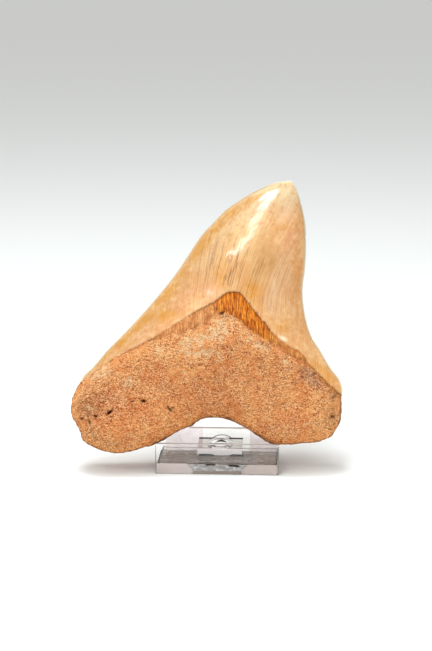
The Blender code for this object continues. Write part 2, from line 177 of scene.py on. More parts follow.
def fractal(pts, scale, octaves, seed=0.0, gain=0.55):
    total, amp, norm = np.zeros(len(pts)), 1.0, 0.0
    for o in range(octaves):
        total += amp * perlin(pts, scale / 2 ** o, seed + 7.3 * o)
        norm += amp
        amp *= gain
    return total / norm


def cells(pts, scale, seed=0.0):
    """Distance to the nearest and second nearest cell point, in cell widths."""
    k = 1.0 / scale
    out = np.empty((len(pts), 2))
    for i, (x, y, z) in enumerate(pts):
        d, _ = noise.voronoi(Vector((x * k + seed, y * k, z * k + seed)))
        out[i] = d[0], d[1]
    return out


def spot(ab, a, b, ra, rb, turn=0.0):
    """A soft round patch: 1 at its middle, falling to 0."""
    c, s = math.cos(math.radians(turn)), math.sin(math.radians(turn))
    x, y = ab[:, 0] - a, ab[:, 1] - b
    u, v = (x * c + y * s) / ra, (-x * s + y * c) / rb
    return np.exp(-(u * u + v * v))


# ---------------------------------------------------------------- outline, evenly sampled
loop = catmull(OUTLINE, True)
if np.sum(loop[:-1, 0] * loop[1:, 1] - loop[1:, 0] * loop[:-1, 1]) < 0:
    loop = loop[::-1]
fine, arc_at = evenly(loop, 0.085)
fine, arc_at = fine[:-1], arc_at[:-1]
LENGTH = float(np.linalg.norm(loop[1:] - loop[:-1], axis=1).sum())


def closest(target):
    return int(np.argmin(np.hypot(fine[:, 0] - target[0], fine[:, 1] - target[1])))


# counter-clockwise: tip, down the left edge, along the root, up the right edge
i_tip = closest(TIP)
fine = np.roll(fine, -i_tip, axis=0)
N_FINE = len(fine)
i_left, i_right = closest(LEFT_SHOULDER), closest(RIGHT_SHOULDER)
s_fine = np.arange(N_FINE) * (LENGTH / N_FINE)
s_left, s_right = s_fine[i_left], s_fine[i_right]


def around(values, width):
    """Moving average round the closed outline, width in millimetres."""
    k = max(1, int(round(width / (LENGTH / N_FINE) / 2)))
    kernel = np.ones(2 * k + 1) / (2 * k + 1)
    wide = np.concatenate([values[-2 * k:], values, values[:2 * k]])
    return np.convolve(wide, kernel, 'same')[2 * k:-2 * k]


soft = np.stack([around(fine[:, 0], 2.4), around(fine[:, 1], 2.4)], 1)
tangent = np.roll(soft, -4, axis=0) - np.roll(soft, 4, axis=0)
tangent /= np.linalg.norm(tangent, axis=1)[:, None]
inward = np.stack([-tangent[:, 1], tangent[:, 0]], 1)

# how much of a root edge (rounded) each place on the outline is, 0 on the cutting edges
root_edge = smooth(s_fine, s_left - 5.0, s_left + 6.0) * (1 - smooth(s_fine, s_right - 6.0, s_right + 5.0))

outline_tree = tree_of(fine)
left_line = np.vstack([fine[:i_left + 1], np.linspace(fine[i_left], (-75.0, 12.0), 60)])
right_line = np.vstack([np.linspace((72.0, 12.0), fine[i_right], 60), fine[i_right:], fine[:1]])
left_tree, right_tree = tree_of(left_line), tree_of(right_line)
enamel_line, _ = evenly(catmull(ENAMEL_EDGE, False), 0.1)
root_line, _ = evenly(catmull(ROOT_EDGE, False), 0.1)
labial_line, _ = evenly(catmull(LABIAL_EDGE, False), 0.1)
enamel_tree, root_tree, labial_tree = tree_of(enamel_line), tree_of(root_line), tree_of(labial_line)


def signed(tree, line, ab):
    """Distance from a border line, positive towards the tip."""
    d, k = near(tree, ab)
    k = np.clip(k, 1, len(line) - 2)
    t = line[k + 1] - line[k - 1]
    r = ab - line[k]
    return d * np.sign(t[:, 0] * r[:, 1] - t[:, 1] * r[:, 0])


# ---------------------------------------------------------------- cutting edges with serrations
def cusps(at, pts3):
    """Serration profile along the cutting edge: 1 on a cusp, falling sharply to 0 between."""
    phase = at / SERRATION + 0.35 * perlin(pts3, 6.0, 3.1)
    return np.abs(np.sin(math.pi * phase)) ** 0.6


def edge_points():
    """The real rim, point by point: serrated cutting edges and a worn, rough root edge."""
    out_s = []
    s = 0.0
    while s < LENGTH - 0.08:
        on_root = np.interp(s, s_fine, root_edge)
        out_s.append(s)
        s += 0.17 + 0.25 * on_root
    at = np.array(out_s)
    i = np.clip(np.searchsorted(s_fine, at), 0, N_FINE - 1)
    base, inw, rooty = fine[i], inward[i], root_edge[i]
    pts3 = np.stack([base[:, 0], base[:, 1], np.zeros(len(base))], 1)
    # serrations: rounded cusps with sharp notches, a little uneven, worn near the tip
    from_tip = np.minimum(at, LENGTH - at)
    cusp = cusps(at, pts3)
    wear = 0.55 + 0.45 * smooth(perlin(pts3, 9.0, 8.8), -0.3, 0.3)
    serration = SERRATION_DEPTH * wear * (cusp - 0.75) * (1 - rooty) * smooth(from_tip, 3.0, 14.0)
    nicks = -0.20 * smooth(perlin(pts3, 2.2, 5.5), 0.52, 0.75) * (1 - rooty) * smooth(from_tip, 4, 20)
    wobble = 0.16 * perlin(pts3, 9.0, 1.3) * (1 - rooty)
    rough = rooty * (0.42 * perlin(pts3, 5.0, 2.2) + 0.26 * perlin(pts3, 1.9, 4.4)
                     + 0.14 * perlin(pts3, 0.9, 6.4))
    out = serration + nicks + wobble + rough
    # notches on the left lobe and under the root
    for (na, nb, depth, width) in ((-61.9, 3.2, 0.9, 1.3), (-32.4, -1.6, 0.7, 0.9),
                                   (-17.0, 6.0, 0.8, 1.8), (-24.0, 2.2, -0.5, 1.6),
                                   (-11.0, 9.4, -0.5, 1.5), (12.0, 8.0, 0.4, 2.0),
                                   (20.0, 2.6, 0.4, 1.5), (-64.7, 21.0, 0.35, 1.2),
                                   (56.9, 21.2, 0.4, 1.0), (34.0, -0.2, 0.4, 1.2)):
        out -= depth * np.exp(-((base[:, 0] - na) ** 2 + (base[:, 1] - nb) ** 2) / width ** 2)
    return at, i, base - inw * out[:, None]


rim_s, rim_i, rim_ab = edge_points()
N_RIM = len(rim_ab)


def half_face(lingual, step_root, step_crown):
    """Triangulates one face of the tooth.

    The band next to the root's rounded edge is unrolled to its true arc length first, so
    its triangles are even on the curved surface.  Returns plane coordinates, the exact
    depth in from the edge, and triangles whose first N_RIM points are the shared rim.
    """
    radius = ROOT_ROUND_LINGUAL if lingual else ROOT_ROUND_LABIAL
    alpha = math.acos(1 - BAND / radius)
    roll = radius * alpha * 1.04          # arc length of the band where it is fully rounded
    width = BAND + (roll - BAND) * root_edge           # arc length of the band, by place

    def depth_of(arc, i):
        u = np.clip(arc / width[i], 0, 1)
        rounded = radius * (1 - np.cos(u * alpha))
        return root_edge[i] * rounded + (1 - root_edge[i]) * BAND * u

    flat, depth, real = [], [], []
    # rim, pushed outwards by how much the band unrolls
    out = (width - BAND)[rim_i]
    flat.append(rim_ab - inward[rim_i] * out[:, None])
    depth.append(np.zeros(N_RIM))
    real.append(rim_ab)
    # rings of points in the band
    levels = np.concatenate([[0.15, 0.34, 0.6], np.arange(0.95, roll, 0.42 if lingual else 0.55)])
    for n_ring, arc in enumerate(levels):
        gap = 0.20 if arc < 0.7 else (0.42 if lingual else 0.58)
        at = np.arange(0, LENGTH - gap * 0.5, gap) + (gap / 2 if n_ring % 2 else 0.0)
        i = np.clip(np.searchsorted(s_fine, at), 0, N_FINE - 1)
        i = i[arc < width[i] - 0.22]
        d = depth_of(np.full(len(i), arc), i)
        pos = fine[i] + inward[i] * d[:, None]
        got, _ = near(outline_tree, pos)
        ok = got > d * 0.94 - 0.01
        i, d, pos = i[ok], d[ok], pos[ok]
        flat.append(fine[i] - inward[i] * (width[i] - BAND - arc)[:, None])
        depth.append(d)
        real.append(pos)
    # the open face: a fine grid on root and bourlette, a wider one on the smooth enamel
    border = enamel_tree if lingual else labial_tree
    line = enamel_line if lingual else labial_line
    for step, crown in ((step_root, False), (step_crown, True)):
        xs = np.arange(-70, 62, step)
        ys = np.arange(-8, 124, step * math.sqrt(3) / 2)
        grid = np.stack(np.meshgrid(xs, ys), -1)
        grid[1::2, :, 0] += step / 2
        grid = grid.reshape(-1, 2)
        inside = np.zeros(len(grid), bool)
        ring = fine[::12]
        for u, v in zip(ring, np.roll(ring, -1, axis=0)):
            rows = (u[1] > grid[:, 1]) != (v[1] > grid[:, 1])
            if rows.any():
                x_at = u[0] + (grid[rows, 1] - u[1]) / (v[1] - u[1]) * (v[0] - u[0])
                inside[rows] ^= grid[rows, 0] < x_at
        grid = grid[inside]
        s = signed(border, line, grid)
        grid = grid[(s > 1.0) if crown else (s < 1.0 - step * 0.45)]
        d, _ = near(outline_tree, grid)
        grid, d = grid[d > BAND + step * 0.35], d[d > BAND + step * 0.35]
        flat.append(grid)
        depth.append(d)
        real.append(grid)
    flat, depth, real = np.vstack(flat), np.concatenate(depth), np.vstack(real)
    rim_edges = [(k, (k + 1) % N_RIM) for k in range(N_RIM)]
    verts, _, faces, source, _, _ = delaunay_2d_cdt([Vector(p) for p in flat], rim_edges, [], 1, 1e-7)
    pick = np.array([s[0] if s else -1 for s in source])
    where = {int(p): k for k, p in enumerate(pick) if p >= 0}
    tris = []
    for f in faces:
        idx = [int(pick[k]) for k in f]
        if min(idx) >= 0:
            tris.append(idx)
    used = sorted({k for t in tris for k in t} | set(range(N_RIM)))
    remap = {old: new for new, old in enumerate(used)}
    used = np.array(used)
    return real[used], depth[used], np.array([[remap[k] for k in t] for t in tris])


def wide_shape(ab, depth):
    """Crown cross-section terms shared by both faces."""
    d_left, _ = near(left_tree, ab)
    d_right, _ = near(right_tree, ab)
    wide = d_left + d_right
    t = d_left / np.maximum(wide, 1e-9)
    return wide, t, np.clip(4 * t * (1 - t), 0, 1)


def rounded(depth, radius):
    x = np.clip(depth / radius, 0, 1)
    return np.sqrt(np.clip(1 - (1 - x) ** 2, 0, 1))


def lingual_height(ab, depth):
    wide, t, dome = wide_shape(ab, depth)
    crown = CROWN_LINGUAL * (1 - np.exp(-wide / 38.0)) * dome ** 0.9
    a, b = ab[:, 0], ab[:, 1]
    bulge = ROOT_BULGE * np.exp(-((a - 3.0) / 27.0) ** 2 / 2 - ((b - 44.0) / 17.0) ** 2 / 2)
    groove = 1.2 * np.exp(-((a - 2.0) / 5.0) ** 2 / 2 - ((b - 24.0) / 12.0) ** 2 / 2)
    root = (ROOT_LINGUAL + bulge - groove) * rounded(depth, ROOT_ROUND_LINGUAL)
    w = smooth(signed(enamel_tree, enamel_line, ab), -7.0, 7.0)
    return root * (1 - w) + crown * w, wide, t


def labial_height(ab, depth):
    wide, t, dome = wide_shape(ab, depth)
    crown = CROWN_LABIAL * (1 - np.exp(-wide / 30.0)) * dome ** 0.75
    a, b = ab[:, 0], ab[:, 1]
    hollow = 1.6 * np.exp(-(a / 26.0) ** 2 / 2 - ((b - 26.0) / 14.0) ** 2 / 2)
    root = (ROOT_LABIAL - hollow) * rounded(depth, ROOT_ROUND_LABIAL)
    s_l = signed(labial_tree, labial_line, ab)
    w = smooth(s_l, -8.0, 8.0)
    return root * (1 - w) + crown * w, s_l, wide, t


def build_tooth():
    f_ab, f_depth, f_tris = half_face(True, 0.40, 0.80)
    b_ab, b_depth, b_tris = half_face(False, 0.52, 0.95)
    f_h, f_wide, f_t = lingual_height(f_ab, f_depth)
    b_h, s_l, b_wide, b_t = labial_height(b_ab, b_depth)
    f_seen = facing(f_ab, f_h)
    s_e = signed(enamel_tree, enamel_line, f_seen)
    s_r = signed(root_tree, root_line, f_seen)

    n_f = len(f_ab)
    ab = np.vstack([f_ab, b_ab[N_RIM:]])
    depth = np.concatenate([f_depth, b_depth[N_RIM:]])
    c = np.concatenate([f_h, -b_h[N_RIM:]])
    c[:N_RIM] = 0.0
    front = np.concatenate([np.ones(n_f, bool), np.zeros(len(b_ab) - N_RIM, bool)])
    back_index = np.concatenate([np.arange(N_RIM), n_f + np.arange(len(b_ab) - N_RIM)])
    tris = np.vstack([f_tris, back_index[b_tris][:, ::-1]])
    wide = np.concatenate([f_wide, b_wide[N_RIM:]])
    across = np.concatenate([f_t, b_t[N_RIM:]])
    s_enamel = np.concatenate([s_e, s_l[N_RIM:]])
    s_root = np.concatenate([s_r, s_l[N_RIM:] + 0.4])
    s_enamel[:N_RIM] = s_e[:N_RIM]

    P = np.stack([ab[:, 0], ab[:, 1], c], 1)       # a, b, and c out of the lingual face
    seen = np.vstack([f_seen, b_ab[N_RIM:]])

    # uneven borders: the enamel ends in small scallops, the root in a rough shelf
    s_enamel = s_enamel + 0.40 * perlin(P, 3.4, 11.0) + 0.32 * perlin(P, 1.3, 12.0)
    s_root = s_root + 0.9 * perlin(P, 4.2, 13.0) + 0.7 * perlin(P, 1.7, 14.0) + 0.3 * perlin(P, 0.9, 15.0)

    on_enamel = smooth(s_enamel, -0.18, 0.30)
    on_root = 1 - smooth(s_root, -0.5, 0.6)
    on_bour = np.clip(1 - on_enamel - on_root, 0, 1)

    # base normals
    def normals(Q):
        n = np.zeros_like(Q)
        e1, e2 = Q[tris[:, 1]] - Q[tris[:, 0]], Q[tris[:, 2]] - Q[tris[:, 0]]
        fn = np.cross(e1, e2)
        for k in range(3):
            np.add.at(n, tris[:, k], fn)
        return n / np.maximum(np.linalg.norm(n, axis=1), 1e-12)[:, None]

    if np.einsum('ij,ij->i', np.cross(P[tris[:, 1]] - P[tris[:, 0]],
                                      P[tris[:, 2]] - P[tris[:, 0]]), P[tris[:, 0]]).sum() < 0:
        tris = tris[:, ::-1]
    N = normals(P)

    # relief
    rise = np.zeros(len(P))
    rise += 0.42 * smooth(s_enamel, -0.12, 0.55) * smooth(depth, 0.0, 1.5)
    shelf = 0.5 * (1 - smooth(s_root, -1.2, 0.5)) * smooth(depth, 0.0, 2.5)
    rise += shelf * front
    # the crown: long shallow undulations along its growth, faint folds at its foot
    fan_u, fan_v = fan(seen)
    F = np.stack([fan_u, fan_v * 0.12, np.where(front, 0.0, 40.0)], 1)
    rise += on_enamel * (0.045 * perlin(F, 5.5, 21.0) + 0.020 * perlin(F, 1.8, 22.0)) * smooth(depth, 0.5, 4.0)
    rise += on_enamel * 0.08 * perlin(P, 17.0, 23.0) * smooth(depth, 1.0, 5.0)
    # bourlette fibres
    B = np.stack([ab[:, 0] + 0.10 * (ab[:, 1] - 55.0) * np.sign(ab[:, 0] - 8.0) * 0.0, ab[:, 1] * 0.10,
                  np.zeros(len(ab))], 1)
    rise += on_bour * front * (0.13 * perlin(B, 1.05, 31.0) + 0.10 * perlin(B, 0.55, 32.0)
                               + 0.12 * perlin(P, 2.0, 33.0) - 0.16)
    # root: broad swellings, worn lumps, grain, pores
    big = 0.55 * perlin(P, 14.0, 41.0) + 0.35 * perlin(P, 6.0, 42.0)
    G = P * np.array([0.62, 1.25, 1.0])
    lump = (0.24 * perlin(P, 2.6, 43.0) + 0.30 * perlin(G, 1.30, 44.0) + 0.20 * perlin(G, 0.85, 45.0)
            - 0.16 * np.abs(perlin(G, 1.9, 48.0)))
    vor = cells(P, 2.3, 3.0)
    pick = smooth(perlin(P, 3.3, 46.0), 0.02, 0.35)
    pores = -0.34 * (1 - smooth(vor[:, 0], 0.08, 0.34)) * pick
    vor2 = cells(P, 1.25, 9.0)
    pores2 = -0.20 * (1 - smooth(vor2[:, 0], 0.08, 0.36)) * smooth(perlin(P, 4.1, 47.0), -0.15, 0.25)
    rise += on_root * (big + lump + pores + pores2)
    # foramina and pits at their own places
    holes = np.zeros(len(P))
    for (pa, pb, ra, rb, turn, depth_mm) in PITS:
        holes += spot(seen, pa, pb, ra, rb, turn) * depth_mm
    rise -= holes * front
    # serrations run a little way in from the cutting edge
    s_near = depth < 1.8
    notch = np.zeros(len(P))
    _, k_near = near(outline_tree, ab[s_near])
    base3 = np.stack([fine[k_near, 0], fine[k_near, 1], np.zeros(len(k_near))], 1)
    notch[s_near] = ((1 - cusps(s_fine[k_near], base3)) * (1 - root_edge[k_near])
                     * (1 - smooth(depth[s_near], 0.9, 1.7))
                     * smooth(np.minimum(s_fine[k_near], LENGTH - s_fine[k_near]), 4.0, 16.0))
    rise -= 0.18 * notch * smooth(depth, 0.0, 0.12)
    P = P + N * rise[:, None]
    # depth of pores and pits, used to colour them darker as painted shade in the hollows
    pit_shade = 0.8 * np.clip(-(pores + pores2) / 0.5, 0, 1) * on_root + np.clip(1.15 * holes * front, 0, 2)

    # ------------------------------------------------------------ mesh in the row frame
    local = np.stack([P[:, 0], -P[:, 2], P[:, 1]], 1)
    R = np.array(AXES)
    world = (local @ R.T + np.array(TOOTH_AT)) * MM + np.array(STAND)
    me = bpy.data.meshes.new("tooth_surface")
    me.from_pydata(world.tolist(), [], tris.tolist())
    me.validate()
    me.update()
    me.shade_smooth()

    def attribute(name, values):
        at = me.attributes.new(name, 'FLOAT', 'POINT')
        at.data.foreach_set('value', np.asarray(values, np.float32))

    def attribute3(name, values):
        at = me.attributes.new(name, 'FLOAT_VECTOR', 'POINT')
        at.data.foreach_set('vector', np.asarray(values, np.float32).ravel())

    attribute3("place", P / 10.0)
    attribute3("grow", np.stack([fan_u / 10.0, fan_v / 10.0, np.where(front, 0.0, 5.0)], 1))
    attribute("s_enamel", s_enamel)
    attribute("s_root", s_root)
    attribute("rim", depth)
    attribute("pit_shade", pit_shade)
    attribute("notch", notch)
    for name, value in stains(seen, P, front, across, s_enamel, s_root).items():
        attribute(name, value)

    # material slots: 0 enamel, 1 bourlette, 2 root
    cen_e = s_enamel[tris].mean(1)
    cen_r = s_root[tris].mean(1)
    is_front = front[tris].mean(1) > 0.5
    slot = np.where(cen_e > 0.08, 0, np.where((cen_r > 0.05) & is_front, 1, 2))
    me.polygons.foreach_set('material_index', slot.astype(np.int32))
    ob = bpy.data.objects.new("tooth_surface", me)
    scene.collection.objects.link(ob)
    print("tooth triangles", len(tris), "vertices", len(P), file=sys.stderr)
    return ob


def fan(ab):
    """Growth coordinates on the crown: u is constant along a growth line, v runs along it."""
    a, b = ab[:, 0], ab[:, 1]
    h = b - 68.0
    up = np.maximum(h, 0.0)
    u = a.copy()
    for _ in range(8):
        lean = np.interp(u, [-45.0, -20.0, -8.0, 9.0, 25.0, 45.0], [0.16, 0.10, 0.09, 0.25, 0.33, 0.30])
        low = np.interp(u, [-60.0, -30.0, -8.0, 9.0, 25.0, 50.0], [0.55, 0.30, 0.05, 0.10, 0.10, -0.15])
        u = a - lean * up - 0.0035 * up * up - low * np.minimum(h, 0.0)
    return u, h


def facing(ab, c):
    """Where a point of the face appears on the tooth's middle plane from the stand's front."""
    eye = AXES.transposed() @ (EYE - TOOTH_AT)
    at, far = np.array([eye.x, eye.z]), -eye.y
    return at + (ab - at) * (far / (far - c))[:, None]


PITS = [  # a, b, half-length, half-width, turn, depth: foramina and nicks on the lingual root
    (-48.9, 14.2, 2.0, 0.75, 38.0, 1.3), (-55.1, 12.5, 0.9, 0.6, 0.0, 1.1),
    (-61.4, 11.4, 0.9, 0.7, 0.0, 1.0), (-58.0, 9.8, 0.6, 1.5, 10.0, 0.9),
    (-33.4, 19.4, 1.15, 0.8, -10.0, 1.25), (-38.6, 19.2, 1.2, 0.5, 10.0, 0.9),
    (-21.6, 15.6, 2.0, 0.55, -48.0, 1.0), (-20.2, 16.3, 1.0, 0.45, 30.0, 0.7),
    (52.7, 12.3, 1.3, 0.9, 0.0, 0.9), (53.6, 21.4, 1.7, 0.6, 40.0, 0.7),
    (20.6, 45.4, 0.7, 0.55, 0.0, 0.7), (10.0, 39.0, 0.6, 0.5, 0.0, 0.5),
    (12.6, 36.8, 0.7, 0.5, 0.0, 0.6), (3.2, 29.8, 0.7, 0.6, 0.0, 0.5),
    (-0.6, 33.0, 0.8, 0.5, 30.0, 0.6), (1.0, 31.2, 0.6, 0.5, 0.0, 0.6),
    (2.2, 59.6, 1.5, 0.9, 35.0, 0.9), (-0.2, 61.6, 0.6, 1.2, 0.0, 0.6),
    (-7.6, 29.6, 0.9, 0.5, 10.0, 0.5), (7.5, 32.4, 0.9, 0.5, -20.0, 0.5),
    (44.5, 31.6, 1.3, 0.6, 60.0, 0.6), (47.2, 28.6, 0.9, 0.6, 45.0, 0.6),
]


def stains(ab, P, front, across, s_enamel, s_root):
    """Soft areas of colour at their own places, 0..1 each."""
    f = front.astype(float)
    warp = np.stack([perlin(P, 8.0, 61.0), perlin(P, 8.0, 62.0)], 1) * 2.6
    q = ab + warp
    k = 1 - f
    # ochre: a band just inside the left cutting edge, blotches beside the bourlette and right edge
    d_left, _ = near(left_tree, ab)
    band = (np.exp(-((d_left - 3.3) / 1.5) ** 2) * smooth(ab[:, 1], 78.0, 88.0)
            * smooth(117.0 - ab[:, 1], 0.0, 6.0) * (1 - smooth(across, 0.25, 0.45)))
    low_band = np.exp(-((d_left - 3.0) / 1.7) ** 2) * smooth(74.0 - ab[:, 1], 0.0, 6.0) * smooth(ab[:, 1], 30.0, 38.0)
    ochre = 1.35 * band + 0.95 * low_band * (0.25 + 0.75 * smooth(perlin(P, 5.0, 63.0), -0.1, 0.25))
    ochre += 0.80 * spot(q, 16.5, 69.5, 3.6, 5.0, -15) + 0.9 * spot(q, 30.0, 54.0, 2.8, 3.2)
    ochre += 0.55 * spot(q, 1.0, 77.0, 3.0, 5.5, -10) + 0.45 * spot(q, 37.4, 77.0, 2.2, 7.0)
    ochre += 0.7 * spot(q, 48.6, 33.2, 1.8, 1.6) + 0.5 * spot(q, -43.5, 46.6, 4.0, 2.0, 40)
    ochre += 0.55 * spot(q, -26.5, 58.0, 4.5, 2.8, 40) + 0.4 * spot(q, 37.6, 61.0, 1.6, 3.0)
    ochre += 0.45 * spot(q, -7.0, 94.0, 1.8, 2.6) + 0.9 * spot(ab, -7.6, 89.6, 3.4, 1.9, 55) + 0.7 * spot(ab, -17.5, 76.5, 2.6, 1.6, 50)
    ochre += 0.7 * spot(ab, 31.0, 99.0, 4.4, 1.5, 8) + 0.5 * spot(ab, 3.0, 80.0, 3.4, 6.0, -10) + 0.5 * spot(ab, 15.0, 70.0, 3.0, 4.0)
    ochre += 0.6 * spot(q, 46.0, 34.0, 5.0, 1.6, -42) + 0.85 * spot(q, 50.5, 28.0, 3.0, 3.6, 40)
    ochre += k * (0.5 * spot(q, 10.0, 70.0, 16.0, 9.0, 20) + 0.5 * spot(q, -20.0, 52.0, 12.0, 5.0, 30))
    for a0, b0, ra, rb, turn, w in ((-22.7, 58.6, 4.2, 2.8, 30, 0.9), (-31.4, 57.6, 3.8, 1.5, 48, 0.9), (-35.5, 53.6, 3.2, 1.2, 46, 0.8),
                                    (-44.0, 46.1, 1.8, 1.2, 20, 1.0), (-21.4, 68.0, 3.2, 4.4, -30, 0.65), (-14.2, 79.2, 3.2, 1.4, 55, 0.8),
                                    (-18.4, 72.6, 2.2, 1.6, 40, 0.7), (-26.6, 64.2, 2.4, 1.5, 45, 0.7), (-11.4, 76.0, 3.0, 3.0, 0, 0.4),
                                    (-48.5, 42.2, 2.6, 1.0, 42, 0.7), (-6.0, 90.5, 4.0, 1.7, 50, 0.5)):
        ochre += w * spot(ab + 0.4 * warp, a0, b0, ra, rb, turn)
    # khaki: greenish-brown area in the middle of the crown
    khaki = 0.85 * spot(q, 22.5, 84.5, 6.0, 6.0, -25) + 0.40 * spot(q, 17.0, 76.0, 4.0, 6.0, -15)
    khaki += 0.3 * spot(q, 2.0, 82.0, 6.0, 7.0) + k * 0.5 * spot(q, 16.0, 84.0, 8.0, 12.0, -20)
    # pink: warm flush on the right of the crown and low on the left limb
    pink = 0.75 * spot(q, 32.4, 96.0, 4.0, 7.0, -8) + 0.25 * spot(q, 36.0, 84.0, 3.0, 10.0)
    pink += 0.4 * spot(q, -2.0, 72.0, 7.0, 5.0) + 0.45 * spot(q, -14.0, 66.0, 8.0, 4.0, 40)
    pink += 0.75 * spot(q, -26.0, 55.5, 13.0, 4.5, 38) + 0.35 * spot(q, -45.0, 41.5, 8.0, 2.6, 38)
    # pale greyish veil: long pale streaks, and a pale patch beside the crest highlight that is a painted glow round it
    veil_and_glow = 0.8 * spot(q, 26.0, 70.0, 2.6, 12.0, -12) + 0.55 * spot(q, -28.5, 55.5, 5.0, 1.2, 42)
    veil_and_glow += 0.5 * spot(q, -4.0, 66.0, 6.0, 2.0, 30) + 1.0 * spot(q, 31.0, 108.5, 4.2, 7.0, -15)
    veil_and_glow += 0.5 * spot(q, -38.0, 50.0, 4.0, 1.0, 42)
    # upper crown: creamier
    creamy = 0.75 * spot(q, 9.0, 98.0, 13.0, 12.0, -30) + 0.4 * spot(q, -6.0, 84.0, 6.0, 7.0)
    creamy += k * 0.5 * spot(q, 22.0, 96.0, 12.0, 16.0)
    # root: pale cream areas, reddish areas, a purplish-grey stain
    cream = 0.95 * spot(q, 1.8, 52.0, 4.6, 6.6) + 0.9 * spot(q, -12.0, 46.6, 11.0, 3.4, 20)
    cream += 0.85 * spot(q, -8.0, 40.2, 7.0, 2.8, 5) + 1.7 * spot(ab, -51.6, 32.4, 3.4, 2.3, 35)
    cream += 0.9 * spot(q, -41.2, 27.0, 3.2, 3.6) + 0.5 * spot(q, -14.4, 31.4, 2.0, 2.2)
    cream += 0.85 * spot(q, 17.0, 46.0, 7.0, 3.6, -35) + 0.95 * spot(q, 30.4, 36.0, 3.4, 2.3, -20)
    cream += 0.6 * spot(q, 1.4, 37.6, 3.0, 3.4) + 0.45 * spot(q, 44.0, 8.0, 8.0, 4.2)
    cream += 0.35 * spot(q, -40.0, 4.5, 7.0, 4.0) + 0.4 * spot(q, -26.0, 42.0, 6.0, 2.4, 25)
    cream += 0.4 * spot(q, 31.0, 22.0, 6.0, 3.0) + 0.9 * spot(ab, -58.0, 28.6, 2.4, 1.8, 40)
    cream += k * (0.6 * spot(q, 20.0, 24.0, 16.0, 8.0) + 0.5 * spot(q, -36.0, 20.0, 12.0, 8.0))
    red = 0.75 * spot(q, -12.0, 23.5, 20.0, 5.5) + 0.75 * spot(q, -29.5, 32.0, 9.0, 4.6, 15)
    red += 1.0 * spot(q, -48.0, 20.5, 9.5, 7.5) + 0.6 * spot(q, -58.0, 12.0, 5.0, 6.0) + 0.5 * spot(q, 8.0, 16.0, 14.0, 4.0)
    red += 0.5 * spot(q, 10.0, 31.0, 9.0, 4.0) + 0.6 * spot(q, 33.0, 12.0, 8.0, 4.0, -20)
    red += 0.4 * spot(q, -36.0, 13.0, 8.0, 4.0) + k * 0.5 * spot(q, -5.0, 30.0, 30.0, 7.0)
    # umber: worn, darker brown places on the lobes and under the root
    umber = 1.0 * spot(q, -57.2, 17.6, 6.2, 5.2, 20) + 0.75 * spot(q, -55.0, 3.6, 3.4, 2.6, -40)
    umber += 0.8 * spot(q, -47.0, -1.4, 5.0, 1.8) + 0.85 * spot(q, 51.6, 12.6, 3.2, 4.4, -10)
    umber += 0.35 * spot(q, -1.0, 26.4, 5.0, 3.2) + 0.4 * spot(q, 47.0, 26.0, 6.0, 1.8, -40)
    umber += 0.35 * spot(q, 10.0, 42.0, 4.0, 2.4) + 0.4 * spot(q, 18.4, 38.0, 3.4, 2.2)
    purple = 0.95 * spot(q, 42.6, 30.4, 4.4, 3.2, -38) + 0.4 * spot(q, 37.6, 34.2, 2.6, 1.8, -30)
    purple += 0.8 * spot(q, 53.0, 21.6, 2.2, 1.6) + 0.5 * spot(q, 2.4, 59.6, 4.0, 2.2)
    # bourlette brightness: vivid in the right-hand branch and apex, dull and brown on the left
    vivid = smooth(ab[:, 0], -5.5, 5.0) * (1 - 0.80 * smooth(ab[:, 0], 18.0, 30.0))
    lined = 0.12 + 0.88 * np.clip(1.15 * spot(q, 13.0, 78.0, 19.0, 13.0, -20) + 0.12 * spot(q, 13.0, 97.0, 10.0, 10.0), 0, 1)
    chip = spot(ab, 30.2, 47.7, 1.9, 0.75, -28)
    crisp = 0.15 + 0.85 * smooth(ab[:, 0], -22.0, -3.0) * (1 - smooth(ab[:, 0], 22.0, 34.0))
    crisp = np.maximum(crisp, 0.85 * smooth(ab[:, 0], 41.0, 47.0))
    # the left flank's mask, where the enamel is painted darker as shade
    flank_shade = 1 - smooth(d_left, 5.0, 19.0)
    ivory = 0.85 * smooth(ab[:, 1], 106.0, 117.0) + 0.35 * spot(q, 14.0, 104.0, 8.0, 8.0)
    return {"ochre": np.clip(ochre, 0, 1), "khaki": np.clip(khaki, 0, 1),
            "pink": np.clip(pink, 0, 1), "veil_and_glow": np.clip(veil_and_glow, 0, 1),
            "cream": np.clip(cream, 0, 1), "red": np.clip(red, 0, 1),
            "purple": np.clip(purple * f, 0, 1), "vivid": vivid, "lined": lined,
            "chip": np.clip(chip * f, 0, 1), "ivory": np.clip(ivory, 0, 1),
            "creamy": np.clip(creamy, 0, 1), "umber": np.clip(umber * f, 0, 1),
            "crisp": crisp, "flank_shade": flank_shade}


